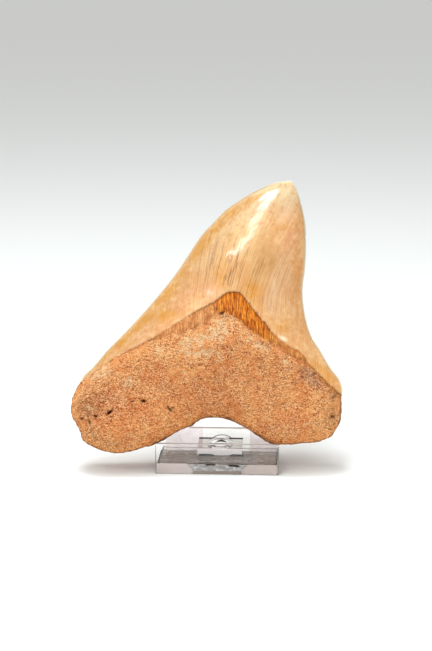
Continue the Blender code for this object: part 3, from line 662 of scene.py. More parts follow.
# ================================================================ node helpers
class Nodes:
    """Small helper for building a material's node tree."""

    def __init__(self, name):
        self.mat = bpy.data.materials.new(name)
        self.mat.use_nodes = True
        self.nt = self.mat.node_tree
        self.bsdf = self.nt.nodes["Principled BSDF"]
        self.out = self.nt.nodes["Material Output"]

    def new(self, kind, **props):
        n = self.nt.nodes.new(kind)
        for k, v in props.items():
            setattr(n, k, v)
        return n

    def put(self, socket, value):
        if isinstance(value, bpy.types.NodeSocket):
            self.nt.links.new(value, socket)
        elif value is not None:
            socket.default_value = value

    def attr(self, name, vector=False):
        n = self.new("ShaderNodeAttribute", attribute_type='GEOMETRY', attribute_name=name)
        return n.outputs["Vector"] if vector else n.outputs["Fac"]

    def math(self, op, a, b=None, c=None, clamp=False):
        n = self.new("ShaderNodeMath", operation=op, use_clamp=clamp)
        for s, v in zip(n.inputs, (a, b, c)):
            self.put(s, v)
        return n.outputs[0]

    def vmul(self, vec, xyz):
        n = self.new("ShaderNodeVectorMath", operation='MULTIPLY')
        self.put(n.inputs[0], vec)
        n.inputs[1].default_value = xyz
        return n.outputs[0]

    def vadd(self, vec, other, scale=None):
        if scale is not None:
            s = self.new("ShaderNodeVectorMath", operation='SCALE')
            self.put(s.inputs[0], other)
            s.inputs["Scale"].default_value = scale
            other = s.outputs[0]
        n = self.new("ShaderNodeVectorMath", operation='ADD')
        self.put(n.inputs[0], vec)
        self.put(n.inputs[1], other)
        return n.outputs[0]

    def noise(self, vec, scale, detail=3.0, rough=0.55, distortion=0.0, color=False, lac=2.0):
        n = self.new("ShaderNodeTexNoise")
        self.put(n.inputs["Vector"], vec)
        n.inputs["Scale"].default_value = scale
        n.inputs["Detail"].default_value = detail
        n.inputs["Roughness"].default_value = rough
        n.inputs["Lacunarity"].default_value = lac
        n.inputs["Distortion"].default_value = distortion
        return n.outputs["Color" if color else "Fac"]

    def voronoi(self, vec, scale, feature='F1', randomness=1.0, out="Distance"):
        n = self.new("ShaderNodeTexVoronoi", feature=feature)
        self.put(n.inputs["Vector"], vec)
        n.inputs["Scale"].default_value = scale
        n.inputs["Randomness"].default_value = randomness
        return n.outputs[out]

    def range(self, value, lo, hi, out_lo=0.0, out_hi=1.0, smooth=True):
        n = self.new("ShaderNodeMapRange", interpolation_type='SMOOTHSTEP' if smooth else 'LINEAR')
        self.put(n.inputs["Value"], value)
        n.inputs["From Min"].default_value = lo
        n.inputs["From Max"].default_value = hi
        n.inputs["To Min"].default_value = out_lo
        n.inputs["To Max"].default_value = out_hi
        return n.outputs["Result"]

    def mix(self, fac, a, b, blend='MIX'):
        n = self.new("ShaderNodeMix", data_type='RGBA', blend_type=blend)
        n.clamp_factor = True
        self.put(n.inputs["Factor"], fac)
        for s, v in ((n.inputs["A"], a), (n.inputs["B"], b)):
            pass
        rgba = [s for s in n.inputs if s.type == 'RGBA']
        for s, v in zip(rgba, (a, b)):
            self.put(s, (*v, 1.0) if isinstance(v, tuple) and len(v) == 3 else v)
        return [o for o in n.outputs if o.type == 'RGBA'][0]

    def bump(self, height, distance, strength=1.0, normal=None):
        n = self.new("ShaderNodeBump")
        n.inputs["Strength"].default_value = strength
        n.inputs["Distance"].default_value = distance
        self.put(n.inputs["Height"], height)
        if normal is not None:
            self.put(n.inputs["Normal"], normal)
        return n.outputs["Normal"]


def srgb(r, g, b):
    """Linear colour from the usual 0-255 display values."""
    return tuple((v / 255 / 12.92) if v <= 10 else ((v / 255 + 0.055) / 1.055) ** 2.4 for v in (r, g, b))


# ================================================================ materials
def enamel_material():
    m = Nodes("enamel")
    place, grow = m.attr("place", True), m.attr("grow", True)
    rim, s_e = m.attr("rim"), m.attr("s_enamel")
    # body colour: cream to peach, in long soft clouds that follow the growth lines
    cloud = m.noise(m.vmul(grow, (1.0, 0.32, 1.0)), 1.6, 4.0, 0.55, 0.6)
    color = m.mix(m.range(cloud, 0.34, 0.66), srgb(228, 180, 126), srgb(216, 158, 102))
    blotch = m.noise(place, 1.1, 3.0, 0.5, 0.8)
    color = m.mix(m.range(blotch, 0.48, 0.70, 0.0, 0.5), color, srgb(212, 150, 88))
    # placed areas
    soft = m.noise(m.vmul(grow, (1.0, 0.5, 1.0)), 4.2, 4.0, 0.6)
    broken = m.range(soft, 0.30, 0.62, 0.35, 1.0)
    color = m.mix(m.math('MULTIPLY', m.attr("creamy"), broken), color, srgb(238, 200, 142))
    # pale veil, with a painted glow beside the crest highlight
    color = m.mix(m.math('MULTIPLY', m.attr("veil_and_glow"), 0.62), color, srgb(232, 194, 160))
    color = m.mix(m.math('MULTIPLY', m.attr("khaki"), m.math('MULTIPLY', broken, 1.0)), color, srgb(184, 130, 58))
    color = m.mix(m.math('MULTIPLY', m.attr("pink"), 0.66), color, srgb(224, 148, 98))
    color = m.mix(m.attr("ivory"), color, srgb(240, 212, 164))
    color = m.mix(m.math('MULTIPLY', m.attr("ochre"), broken), color, srgb(214, 146, 40))
    # mottles of orange in the rim zone
    mott = m.range(m.noise(place, 2.6, 4.0, 0.65, 0.4), 0.50, 0.74)
    edge_zone = m.math('MULTIPLY', m.range(rim, 1.0, 3.0), m.range(rim, 9.0, 13.0, 1.0, 0.0))
    color = m.mix(m.math('MULTIPLY', m.math('MULTIPLY', mott, edge_zone), 0.60), color, srgb(210, 146, 68))
    # cloudy mottling, strongest on the two limbs
    mo = m.noise(place, 4.2, 4.0, 0.68, 0.3)
    limbs = m.range(m.attr("lined"), 0.14, 0.60, 1.0, 0.30)
    limbs = m.math('MULTIPLY', limbs, m.range(m.attr("veil_and_glow"), 0.10, 0.70, 1.0, 0.30))
    color = m.mix(m.math('MULTIPLY', m.range(mo, 0.50, 0.66, 0.0, 0.62), limbs), color, srgb(204, 132, 68))
    color = m.mix(m.math('MULTIPLY', m.range(mo, 0.48, 0.30, 0.0, 0.42), limbs), color, srgb(246, 208, 170))
    # fine growth lines, pale and dark
    fine_l = m.noise(m.vmul(grow, (1.0, 0.035, 1.0)), 22.0, 3.0, 0.6)
    color = m.mix(m.range(fine_l, 0.50, 0.72, 0.0, 0.30), color, srgb(178, 126, 76))
    color = m.mix(m.range(fine_l, 0.47, 0.28, 0.0, 0.30), color, srgb(246, 212, 162))
    # cracks: thin dark lines along the growth direction, in broken runs
    bent = m.vadd(grow, m.noise(place, 1.4, 2.0, 0.5, color=True), 0.06)
    lined = m.attr("lined")
    lines = m.noise(m.vmul(bent, (1.0, 0.014, 1.0)), 7.0, 1.0, 0.5)
    thin = m.math('SUBTRACT', 1.0, m.range(m.math('ABSOLUTE', m.math('SUBTRACT', lines, 0.5)), 0.005, 0.026), clamp=True)
    runs = m.range(m.noise(m.vmul(grow, (2.6, 0.14, 1.0)), 3.4, 2.0, 0.5), 0.43, 0.53)
    crack = m.math('MULTIPLY', m.math('MULTIPLY', thin, runs), lined)
    lines2 = m.noise(m.vmul(bent, (1.0, 0.012, 1.0)), 11.0, 1.0, 0.5)
    thin2 = m.math('SUBTRACT', 1.0, m.range(m.math('ABSOLUTE', m.math('SUBTRACT', lines2, 0.5)), 0.004, 0.045), clamp=True)
    hair = m.math('MULTIPLY', m.math('MULTIPLY', thin2, m.range(lined, 0.0, 1.0, 0.20, 1.0)), 0.72)
    color = m.mix(hair, color, srgb(158, 102, 54))
    color = m.mix(m.math('MULTIPLY', crack, 0.70), color, srgb(116, 60, 20))
    # the left flank is painted a little darker and cooler: painted shade to temper the light falling on it
    color = m.mix(m.attr("flank_shade"), color, m.mix(1.0, color, (0.88, 0.93, 1.03), 'MULTIPLY'))
    # the cutting edge pales to ivory, and its very edge is painted near white as a rim light; the enamel's foot darkens
    # to a thin brown line
    color = m.mix(m.range(rim, 2.0, 0.6, 0.0, 0.55), color, srgb(246, 202, 144))
    color = m.mix(m.range(rim, 1.10, 0.25, 0.0, 0.90), color, srgb(255, 238, 212))
    # painted shade: the serration notches are coloured dark
    color = m.mix(m.attr("notch"), color, srgb(112, 66, 30))
    foot = m.range(s_e, 0.80, 0.05)
    foot = m.math('MULTIPLY', foot, m.attr("crisp"))
    color = m.mix(m.math('MULTIPLY', foot, m.range(m.noise(place, 9.0, 3.0, 0.65), 0.38, 0.62, 0.10, 0.85)), color, srgb(132, 72, 28))
    color = m.mix(m.attr("chip"), color, srgb(248, 228, 198))
    color = m.mix(1.0, color, (0.945, 0.935, 0.850), 'MULTIPLY')
    m.put(m.bsdf.inputs["Base Color"], color)
    rough = m.noise(m.vmul(grow, (1.0, 0.2, 1.0)), 9.0, 3.0, 0.6)
    rough = m.range(rough, 0.3, 0.7, 0.12, 0.22)
    dull = m.math('ADD', m.math('MULTIPLY', crack, 0.25), m.range(s_e, 6.0, 1.0, 0.0, 0.30))
    m.put(m.bsdf.inputs["Roughness"], m.math('ADD', rough, dull))
    m.bsdf.inputs["IOR"].default_value = 1.5
    m.put(m.bsdf.inputs["Coat Weight"], m.range(s_e, 2.0, 8.0, 0.0, 0.60))
    m.bsdf.inputs["Coat Roughness"].default_value = 0.05
    m.bsdf.inputs["Coat IOR"].default_value = 1.5
    m.bsdf.inputs["Subsurface Weight"].default_value = 0.10
    m.bsdf.inputs["Subsurface Radius"].default_value = (1.0, 0.55, 0.25)
    m.bsdf.inputs["Subsurface Scale"].default_value = 0.0012
    n1 = m.bump(m.math('SUBTRACT', m.math('MULTIPLY', fine_l, 0.6), crack), 0.00008, 0.9)
    n2 = m.bump(m.noise(place, 5.0, 4.0, 0.6), 0.00010, 0.35, n1)
    m.put(m.bsdf.inputs["Normal"], n2)
    return m.mat


def bourlette_material():
    m = Nodes("bourlette")
    place = m.attr("place", True)
    s_e, s_r, vivid = m.attr("s_enamel"), m.attr("s_root"), m.attr("vivid")
    bent = m.vadd(place, m.noise(place, 2.2, 2.0, 0.5, color=True), 0.09)
    fibres = m.noise(m.vmul(bent, (1.0, 0.075, 0.3)), 19.0, 3.0, 0.75)
    broad = m.noise(m.vmul(bent, (1.0, 0.22, 0.4)), 5.0, 3.0, 0.55)
    bright = m.mix(m.range(broad, 0.35, 0.65), srgb(222, 121, 22), srgb(206, 102, 17))
    dull = m.mix(m.range(broad, 0.35, 0.65), srgb(212, 140, 82), srgb(188, 108, 54))
    color = m.mix(vivid, dull, bright)
    color = m.mix(m.math('MULTIPLY', m.range(fibres, 0.49, 0.58, 0.0, 1.0), m.range(vivid, 0.0, 1.0, 0.62, 1.0)), color, m.mix(vivid, srgb(166, 96, 50), srgb(130, 50, 8)))
    color = m.mix(m.range(fibres, 0.47, 0.34, 0.0, 0.9), color, m.mix(vivid, srgb(228, 166, 108), srgb(255, 180, 84)))
    dirt = m.range(m.noise(place, 7.0, 4.0, 0.65), 0.53, 0.66)
    color = m.mix(m.math('MULTIPLY', dirt, m.range(vivid, 0.0, 1.0, 0.45, 0.15)), color, srgb(124, 64, 30))
    low_side = m.math('MULTIPLY', m.range(s_r, 2.6, 0.4), m.range(m.noise(place, 4.0, 3.0), 0.40, 0.60))
    color = m.mix(m.math('MULTIPLY', low_side, 0.6), color, srgb(134, 70, 34))
    dots = m.range(m.noise(place, 11.0, 3.0, 0.7), 0.40, 0.58, 0.25, 1.0)
    edge_line = m.math('MULTIPLY', m.range(s_e, -0.60, 0.02), m.range(m.attr("crisp"), 0.2, 1.0, 0.15, 0.85))
    edge_line = m.math('MULTIPLY', edge_line, dots)
    color = m.mix(edge_line, color, srgb(104, 52, 20))
    # painted shade: pits coloured darker with their depth
    color = m.mix(m.range(m.attr("pit_shade"), 0.15, 0.75, 0.0, 0.85), color, srgb(70, 34, 18))
    color = m.mix(1.0, color, m.mix(vivid, (0.90, 1.0, 1.0), (0.86, 0.90, 0.53)), 'MULTIPLY')
    m.put(m.bsdf.inputs["Base Color"], color)
    m.put(m.bsdf.inputs["Roughness"], m.range(fibres, 0.3, 0.7, 0.42, 0.66))
    m.bsdf.inputs["IOR"].default_value = 1.45
    m.bsdf.inputs["Specular IOR Level"].default_value = 0.2
    n = m.bump(fibres, 0.00024, 0.9)
    n = m.bump(m.noise(place, 22.0, 3.0, 0.6), 0.00006, 0.6, n)
    m.put(m.bsdf.inputs["Normal"], n)
    return m.mat


def root_material():
    m = Nodes("root")
    place = m.attr("place", True)
    s_r, pit_shade = m.attr("s_root"), m.attr("pit_shade")
    wide = m.noise(place, 0.9, 4.0, 0.55, 0.5)
    mid = m.noise(place, 3.6, 4.0, 0.6, 0.3)
    bent = m.vadd(place, m.noise(place, 9.0, 2.0, 0.5, color=True), 0.05)
    flat = m.vmul(bent, (0.60, 1.25, 1.0))
    grain = m.noise(flat, 11.5, 3.0, 0.8)
    sand = m.noise(m.vmul(place, (0.8, 1.15, 1.0)), 23.0, 3.0, 0.85)
    dust = m.noise(place, 45.0, 2.0, 0.7)
    calm = m.range(m.noise(place, 1.5, 3.0, 0.6), 0.38, 0.60, 0.55, 1.0)
    calm = m.math('MULTIPLY', calm, m.range(m.attr("cream"), 0.2, 0.8, 1.0, 0.90))
    color = m.mix(m.range(wide, 0.36, 0.64), srgb(240, 163, 96), srgb(224, 131, 66))
    color = m.mix(m.range(mid, 0.52, 0.68, 0.0, 0.58), color, srgb(178, 94, 44))
    # stains
    pale = m.range(m.math('MULTIPLY', m.attr("cream"), m.range(mid, 0.40, 0.58, 0.42, 1.40)), 0.30, 0.82, 0.0, 0.76)
    color = m.mix(pale, color, srgb(242, 205, 160))
    color = m.mix(m.math('MULTIPLY', m.attr("red"), 0.70), color, srgb(200, 94, 40))
    color = m.mix(m.math('MULTIPLY', m.attr("umber"), m.range(mid, 0.3, 0.62, 0.25, 0.85)), color, srgb(140, 74, 34))
    color = m.mix(m.math('MULTIPLY', m.attr("purple"), m.range(mid, 0.3, 0.6, 0.4, 1.0)), color, srgb(128, 80, 74))
    # grain: light crystals and dark hollows between them, in the tone of the place
    light = m.mix(0.84, color, srgb(255, 222, 166))
    dark = m.mix(1.0, color, (0.37, 0.15, 0.03), 'MULTIPLY')
    color = m.mix(m.math('MULTIPLY', m.range(grain, 0.52, 0.62, 0.0, 0.74), calm), color, light)
    color = m.mix(m.math('MULTIPLY', m.range(grain, 0.47, 0.37, 0.0, 0.95), calm), color, dark)
    color = m.mix(m.math('MULTIPLY', m.range(sand, 0.51, 0.60, 0.0, 1.0), calm), color, light)
    color = m.mix(m.math('MULTIPLY', m.range(sand, 0.485, 0.40, 0.0, 1.0), calm), color, dark)
    color = m.mix(m.range(dust, 0.42, 0.28, 0.0, 0.4), color, srgb(128, 62, 28))
    worm = m.math('ABSOLUTE', m.math('SUBTRACT', m.noise(flat, 7.0, 2.0, 0.5), 0.5))
    few = m.range(m.noise(place, 5.0, 3.0, 0.6), 0.47, 0.60)
    color = m.mix(m.math('MULTIPLY', m.range(worm, 0.034, 0.006), m.math('MULTIPLY', few, 0.75)), color, m.mix(1.0, color, (0.40, 0.18, 0.08), 'MULTIPLY'))
    # coarser blotches where the surface turns over at the border
    turn = m.range(m.attr("rim"), 4.2, 1.2)
    lumps = m.noise(place, 7.5, 4.0, 0.75, 0.2)
    color = m.mix(m.math('MULTIPLY', m.range(lumps, 0.49, 0.38, 0.0, 0.80), turn), color, m.mix(1.0, color, (0.48, 0.24, 0.07), 'MULTIPLY'))
    color = m.mix(m.math('MULTIPLY', m.range(lumps, 0.53, 0.64, 0.0, 0.55), turn), color, srgb(240, 196, 134))
    # painted shade: pores and pits coloured darker with their depth, near black in the deepest
    color = m.mix(m.range(pit_shade, 0.15, 0.90, 0.0, 0.72), color, srgb(92, 42, 18))
    color = m.mix(m.range(pit_shade, 0.82, 1.20, 0.0, 0.95), color, srgb(34, 18, 12))
    color = m.mix(m.range(s_r, -0.9, 0.1, 0.0, 0.35), color, srgb(150, 84, 44))
    # painted light: the root is coloured brighter within 5 mm of its edge, where its rounding turns away from the
    # light; then a thin darker line on the very edge
    color = m.mix(m.range(m.attr("rim"), 5.0, 1.4, 0.0, 1.0), color, m.mix(1.0, color, (1.12, 1.08, 1.02), 'MULTIPLY'))
    color = m.mix(m.range(m.attr("rim"), 0.65, 0.15, 0.0, 0.62), color, srgb(108, 62, 38))
    m.put(m.bsdf.inputs["Base Color"], color)
    m.put(m.bsdf.inputs["Roughness"], m.range(sand, 0.3, 0.7, 0.62, 0.90))
    m.bsdf.inputs["IOR"].default_value = 1.45
    m.bsdf.inputs["Specular IOR Level"].default_value = 0.08
    n = m.bump(grain, 0.00062, 0.9)
    n = m.bump(sand, 0.00038, 0.9, n)
    n = m.bump(dust, 0.00008, 0.7, n)
    m.put(m.bsdf.inputs["Normal"], n)
    return m.mat


def clear_material(name, tint):
    """Clear moulded plastic: see-through, with faint flow marks from the mould."""
    m = Nodes(name)
    co = m.new("ShaderNodeTexCoord").outputs["Object"]
    m.bsdf.inputs["Base Color"].default_value = (*tint, 1.0)
    m.bsdf.inputs["Transmission Weight"].default_value = 1.0
    m.bsdf.inputs["IOR"].default_value = 1.49
    m.put(m.bsdf.inputs["Roughness"], m.range(m.noise(co, 90.0, 3.0, 0.6), 0.3, 0.7, 0.0, 0.035))
    flow = m.noise(m.vmul(co, (1.0, 1.0, 2.2)), 55.0, 2.0, 0.5)
    m.put(m.bsdf.inputs["Normal"], m.bump(flow, 0.00005, 0.5))
    return m.mat


def tinted_plate_material():
    """The back rest: clear plastic that looks faintly lavender, with a clearer window in its middle."""
    m = Nodes("clear_back_rest")
    co = m.new("ShaderNodeTexCoord").outputs["Object"]
    parts = m.new("ShaderNodeSeparateXYZ")
    m.put(parts.inputs[0], co)
    x = m.math('MULTIPLY', m.math('SUBTRACT', parts.outputs["X"], STAND.x), 1000.0)
    z = m.math('MULTIPLY', parts.outputs["Z"], 1000.0)
    window = m.math('MULTIPLY', m.range(x, -8.1, -7.5), m.range(x, 14.4, 13.8))
    window = m.math('MULTIPLY', window, m.range(z, 22.0, 18.0))
    cloud = m.noise(co, 110.0, 3.0, 0.6)
    side = m.mix(m.range(cloud, 0.35, 0.65), (0.90, 0.82, 0.825), (0.70, 0.62, 0.63))
    m.put(m.bsdf.inputs["Base Color"], m.mix(window, side, (0.97, 0.95, 0.94)))
    m.bsdf.inputs["Transmission Weight"].default_value = 1.0
    m.bsdf.inputs["IOR"].default_value = 1.49
    m.put(m.bsdf.inputs["Roughness"], m.range(m.noise(co, 90.0, 3.0, 0.6), 0.3, 0.7, 0.0, 0.035))
    flow = m.noise(m.vmul(co, (1.0, 1.0, 2.2)), 55.0, 2.0, 0.5)
    m.put(m.bsdf.inputs["Normal"], m.bump(flow, 0.00005, 0.5))
    return m.mat


# ================================================================ pieces
tooth = build_tooth()
for mat in (enamel_material(), bourlette_material(), root_material()):
    tooth.data.materials.append(mat)
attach(tooth, "root")
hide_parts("tooth")

def moulding(node, name, materials, edit):
    """The stand part's own shape as a fine piece, with its faces sorted by finish."""
    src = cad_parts[node]
    me = src.data.copy()
    ob = bpy.data.objects.new(name, me)
    scene.collection.objects.link(ob)
    ob.matrix_world = src.matrix_world.copy()
    me.materials.clear()
    for mat in materials:
        me.materials.append(mat)
    n = len(me.vertices)
    co = np.empty(n * 3, np.float32)
    me.vertices.foreach_get('co', co)
    co = co.reshape(-1, 3)
    local = (co - np.array(STAND)) / MM
    local, choose = edit(local)
    me.vertices.foreach_set('co', (local * MM + np.array(STAND)).astype(np.float32).ravel())
    me.update()
    slots = []
    for poly in me.polygons:
        centre = local[list(poly.vertices)].mean(0)
        slots.append(choose(centre, poly.normal))
    me.polygons.foreach_set('material_index', slots)
    me.update()
    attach(ob, "root")
    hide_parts(node)
    return ob


def edit_base(v):
    inner = (np.abs(np.abs(v[:, 0]) - 25.7) < 0.2)          # thinner side rails
    v[inner, 0] = np.sign(v[inner, 0]) * 26.5
    def choose(c, n):
        if 2.6 < c[1] < 23.6 and 4.0 < c[2] < 4.9 and n.z > 0.05:
            return 1                                         # ribbed deck
        if c[1] < 1.9 and c[2] > 13.8:
            return 2                                         # the lip's top edge
        return 0
    return v, choose


def edit_rest(v):
    def choose(c, n):
        if c[1] < 11.2 and 6.6 < c[2] < 10.2 and (n.y < -0.3 or n.z > 0.6):
            return 1                                         # front edge of the clip tongue
        if c[1] > 22.5 and abs(n.y) < 0.97 and c[2] > 14.6:
            return 2                                         # the plate's cut edges
        return 0
    return v, choose


def plate_piece(name, outline, front, back, mat, edge=0.05):
    """A thin bevelled plate; outline in the stand's X and Z, thickness along Y, millimetres."""
    bm = bmesh.new()
    ring = [bm.verts.new((x, front, z)) for x, z in outline]
    face = bm.faces.new(ring)
    got = bmesh.ops.extrude_face_region(bm, geom=[face])
    bmesh.ops.translate(bm, vec=(0, back - front, 0), verts=[v for v in got['geom'] if isinstance(v, bmesh.types.BMVert)])
    bmesh.ops.recalc_face_normals(bm, faces=bm.faces)
    bmesh.ops.bevel(bm, geom=list(bm.edges), offset=edge, segments=2, affect='EDGES', profile=0.5)
    for v in bm.verts:
        v.co = STAND + v.co * MM
    me = bpy.data.meshes.new(name)
    bm.to_mesh(me)
    bm.free()
    me.materials.append(mat)
    ob = bpy.data.objects.new(name, me)
    scene.collection.objects.link(ob)
    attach(ob, "root")
    return ob


def ribbed_material():
    """The deck's ribbed top, coloured brown-grey: a painted reflection of the tooth and painted shade."""
    m = Nodes("ribbed_deck_painted_shade")
    co = m.new("ShaderNodeTexCoord").outputs["Object"]
    streak = m.noise(m.vmul(co, (0.16, 1.0, 1.0)), 900.0, 3.0, 0.6)
    cloud = m.noise(m.vmul(co, (0.5, 1.0, 1.0)), 130.0, 3.0, 0.6)
    color = m.mix(m.range(streak, 0.35, 0.65), (0.35, 0.285, 0.205), (0.80, 0.675, 0.54))
    color = m.mix(m.range(cloud, 0.45, 0.70, 0.0, 0.5), color, (0.78, 0.72, 0.66))
    m.put(m.bsdf.inputs["Base Color"], color)
    m.bsdf.inputs["Transmission Weight"].default_value = 1.0
    m.bsdf.inputs["IOR"].default_value = 1.49
    m.put(m.bsdf.inputs["Roughness"], m.range(streak, 0.3, 0.7, 0.10, 0.28))
    m.put(m.bsdf.inputs["Normal"], m.bump(streak, 0.00010, 0.7))
    return m.mat


def satin_material(name, color, clear, rough=0.16, gloss=0.5):
    """Plastic with a satin finish: partly see-through, partly milky."""
    m = Nodes(name)
    m.bsdf.inputs["Specular IOR Level"].default_value = gloss
    co = m.new("ShaderNodeTexCoord").outputs["Object"]
    grain = m.noise(co, 900.0, 2.0, 0.6)
    tone = m.noise(co, 140.0, 3.0, 0.6)
    m.put(m.bsdf.inputs["Base Color"], m.mix(m.range(tone, 0.35, 0.65), color, tuple(0.92 * c for c in color)))
    m.bsdf.inputs["Transmission Weight"].default_value = clear
    m.bsdf.inputs["IOR"].default_value = 1.49
    m.put(m.bsdf.inputs["Roughness"], m.range(grain, 0.3, 0.7, 0.8 * rough, 1.2 * rough))
    m.put(m.bsdf.inputs["Normal"], m.bump(tone, 0.00003, 0.4))
    return m.mat


def mottled_material(name, dark, light, clear):
    """A streaky grey sheet, partly see-through, on the lip's face: painted shade of the floor under the deck's middle.
    """
    m = Nodes(name)
    co = m.new("ShaderNodeTexCoord").outputs["Object"]
    streak = m.noise(m.vmul(co, (0.45, 1.0, 1.3)), 620.0, 3.0, 0.6)
    m.put(m.bsdf.inputs["Base Color"], m.mix(m.range(streak, 0.38, 0.62), dark, light))
    m.bsdf.inputs["Transmission Weight"].default_value = clear
    m.bsdf.inputs["IOR"].default_value = 1.49
    m.put(m.bsdf.inputs["Roughness"], m.range(streak, 0.3, 0.7, 0.10, 0.30))
    m.put(m.bsdf.inputs["Normal"], m.bump(streak, 0.00006, 0.6))
    return m.mat


def frosted_material():
    """The clip tongue's front edge, moulded with a fine matt finish."""
    m = Nodes("frosted_edge")
    co = m.new("ShaderNodeTexCoord").outputs["Object"]
    grain = m.noise(co, 1400.0, 2.0, 0.6)
    color = m.mix(m.range(m.noise(co, 160.0, 3.0), 0.35, 0.65), (1.0, 0.98, 0.975), (1.0, 0.95, 0.94))
    m.put(m.bsdf.inputs["Base Color"], color)
    m.bsdf.inputs["Transmission Weight"].default_value = 0.0
    m.bsdf.inputs["IOR"].default_value = 1.49
    m.put(m.bsdf.inputs["Roughness"], m.range(grain, 0.3, 0.7, 0.30, 0.50))
    m.put(m.bsdf.inputs["Normal"], m.bump(grain, 0.00003, 0.6))
    return m.mat


moulding("stand_base", "stand_base_clear",
         (clear_material("clear_base", (0.975, 0.965, 0.962)), ribbed_material(),
          satin_material("satin_lip", (0.86, 0.82, 0.79), 0.40)), edit_base)
moulding("stand_back_rest", "stand_back_rest_clear",
         (tinted_plate_material(), frosted_material(),
          satin_material("satin_edge", (1.0, 0.95, 0.94), 0.0, 0.6)), edit_rest)
# painted light: sheets on the lip's face showing the floor under the deck, lit pinkish by light bounced off the tooth
pad = satin_material("pad_painted_light", (0.86, 0.755, 0.72), 0.50)
plate_piece("pad_left", [(-27.4, 0.3), (-11.2, 0.3), (-11.0, 1.6), (-13.6, 5.0), (-27.4, 5.0)], -0.16, -0.02, pad)
pad_r = satin_material("pad_painted_light_right", (0.78, 0.68, 0.63), 0.50)
plate_piece("pad_right", [(11.2, 0.3), (27.3, 0.3), (27.3, 4.8), (13.6, 4.8), (11.0, 1.6)], -0.16, -0.02, pad_r)
# painted shade: the floor under the middle of the deck
pad_mid = mottled_material("painted_floor_shadow", (0.42, 0.405, 0.395), (0.72, 0.71, 0.70), 0.55)
plate_piece("pad_middle", [(-10.9, 1.75), (10.9, 1.75), (13.2, 4.7), (-13.2, 4.7)], -0.16, -0.02, pad_mid)
# painted shade: near-black marks on the lip's face, the shadowed gaps under the clip tongue mirrored low in the lip
under_dark = satin_material("gap_shadow_seen_low", (0.012, 0.010, 0.009), 0.0, 0.5, 0.05)
plate_piece("gap_shadow_low_left", [(-5.0, 4.25), (-0.6, 4.30), (-0.9, 4.80), (-5.2, 4.75)], -0.30, -0.18, under_dark, 0.03)
plate_piece("gap_shadow_low_right", [(5.3, 4.00), (9.9, 3.65), (10.4, 4.35), (9.0, 4.70), (5.2, 4.62)], -0.30, -0.18, under_dark, 0.03)
# painted shade: a dark crescent on the far wall of the finger hole
hole_dark = satin_material("hole_wall_painted_shade", (0.05, 0.043, 0.036), 0.1)
plate_piece("finger_hole_shade", [(-1.9, 9.5), (-0.9, 9.9), (1.0, 10.15), (2.9, 9.9), (3.9, 9.5), (2.9, 10.4), (2.0, 10.85),
                                  (1.0, 11.0), (0.0, 10.85), (-0.9, 10.4)][::-1], 19.2, 19.35, hole_dark, 0.03)
arc = [(1.2 + 4.9 * math.cos(math.radians(t)), 9.55 + 2.75 * math.sin(math.radians(t))) for t in range(8, 173, 12)]
arc += [(1.2 + 4.45 * math.cos(math.radians(t)), 9.55 + 2.35 * math.sin(math.radians(t))) for t in range(164, 7, -12)]
rim_tone = satin_material("hole_rim", (0.60, 0.54, 0.49), 0.45)
plate_piece("finger_hole_rim", arc, 23.70, 23.85, rim_tone, 0.02)
# painted shadow: a darker brown band low in the middle of the lip, the floor in shade under the deck
pad_low = satin_material("pad_painted_shadow_low", (0.46, 0.375, 0.31), 0.50)
plate_piece("pad_low", [(-10.9, 0.3), (10.9, 0.3), (10.9, 1.65), (-10.9, 1.65)], -0.16, -0.02, pad_low)
# painted shadow: near-black slivers in the shaded gap under the clip tongue's front edge
slot_dark = satin_material("tongue_gap_shadow", (0.006, 0.005, 0.004), 0.0, 0.5, 0.05)
plate_piece("tongue_gap_shadow_left", [(-9.2, 6.10), (-4.5, 6.00), (-1.0, 6.15), (-2.4, 6.95), (-6.0, 7.10), (-8.8, 7.00)], 9.25, 9.6, slot_dark)
plate_piece("tongue_gap_shadow_right", [(4.8, 6.15), (8.5, 6.05), (11.9, 6.10), (11.7, 7.00), (6.4, 7.10)], 9.25, 9.6, slot_dark)


# ================================================================ floor, light, camera
def plain(name, color, rough):
    m = Nodes(name)
    m.bsdf.inputs["Base Color"].default_value = (*color, 1.0)
    m.bsdf.inputs["Roughness"].default_value = rough
    m.bsdf.inputs["Specular IOR Level"].default_value = 0.2
    return m.mat


floor_mesh = bpy.data.meshes.new("floor")
floor_mesh.from_pydata([(-150, -150, 0), (150, -150, 0), (150, 150, 0), (-150, 150, 0)], [], [(0, 1, 2, 3)])
floor = bpy.data.objects.new("floor", floor_mesh)
scene.collection.objects.link(floor)
floor_mesh.materials.append(plain("floor", (0.885, 0.905, 0.880), 0.6))

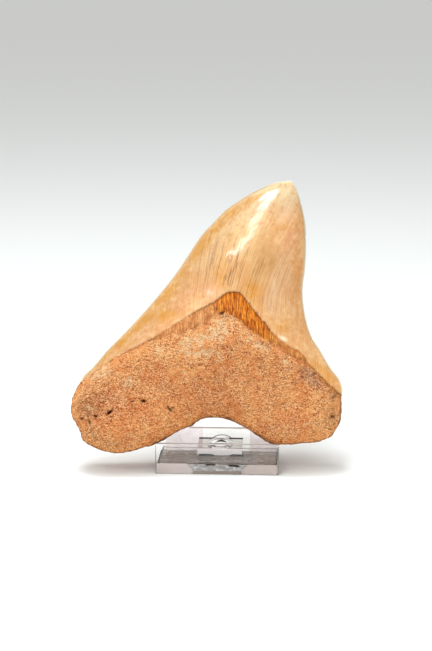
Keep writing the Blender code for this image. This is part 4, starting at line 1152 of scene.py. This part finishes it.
world = bpy.data.worlds.new("studio")
scene.world = world
world.use_nodes = True
wt = world.node_tree
co = wt.nodes.new("ShaderNodeTexCoord")
split = wt.nodes.new("ShaderNodeVectorMath")
split.operation = 'DOT_PRODUCT'
split.inputs[1].default_value = (0.0, -0.60, 0.8)
ramp = wt.nodes.new("ShaderNodeMapRange")
ramp.interpolation_type = 'SMOOTHSTEP'
ramp.inputs["From Min"].default_value = -0.35
ramp.inputs["From Max"].default_value = 0.45
sky = wt.nodes.new("ShaderNodeMix")
sky.data_type = 'RGBA'
wt.links.new(co.outputs["Generated"], split.inputs[0])
wt.links.new(split.outputs["Value"], ramp.inputs["Value"])
wt.links.new(ramp.outputs["Result"], sky.inputs["Factor"])
tones = [i for i in sky.inputs if i.type == 'RGBA']
tones[0].default_value = (0.42, 0.38, 0.34, 1.0)
tones[1].default_value = (0.98, 0.98, 1.0, 1.0)
wt.links.new([o for o in sky.outputs if o.type == 'RGBA'][0], wt.nodes["Background"].inputs["Color"])
wt.nodes["Background"].inputs["Strength"].default_value = 0.76


def soft_box(name, azimuth, elevation, wide, high, radiance, far=1.1, color=(1, 1, 1)):
    """An area light placed by its direction from the crown; sizes are angles in degrees."""
    az, el = math.radians(azimuth), math.radians(elevation)
    aim = STAND + (AXES @ Vector((15.0, -10.0, 95.0)) + TOOTH_AT) * MM
    way = Vector((math.sin(az) * math.cos(el), -math.cos(az) * math.cos(el), math.sin(el)))
    light = bpy.data.lights.new(name, 'AREA')
    light.shape = 'RECTANGLE'
    light.size = 2 * far * math.tan(math.radians(wide / 2))
    light.size_y = 2 * far * math.tan(math.radians(high / 2))
    light.energy = radiance * math.pi * light.size * light.size_y
    light.color = color
    ob = bpy.data.objects.new(name, light)
    scene.collection.objects.link(ob)
    ob.location = aim + way * far
    ob.rotation_euler = (-way).to_track_quat('-Z', 'Y').to_euler()
    return ob


soft_box("top", -100, 81, 9, 20, 25.8, color=(0.93, 0.98, 1.0))
soft_box("crest", -27, 75, 17, 18, 9.2, color=(0.90, 0.965, 1.0))
soft_box("over", -16, 61, 14, 13, 6.5, color=(0.90, 0.965, 1.0))
soft_box("front_strip", -8, 47, 8, 11, 11.0)
soft_box("low_strip", -27, 42.5, 20, 4.5, 10.5)
soft_box("left", -62, 22, 30, 40, 0.35, 1.3)
soft_box("right", 62, 20, 30, 40, 0.45, 1.3)

cam_data = bpy.data.cameras.new("camera")
cam_data.lens = 100.0
cam_data.sensor_width = 36.0
cam_data.clip_start = 0.01
cam_data.clip_end = 400.0
cam = bpy.data.objects.new("camera", cam_data)
scene.collection.objects.link(cam)
cam.location = STAND + EYE * MM
cam.rotation_euler = (math.radians(90.0 - 12.0), 0.0, math.radians(3.0))
scene.camera = cam
scene.view_settings.view_transform = 'Standard'
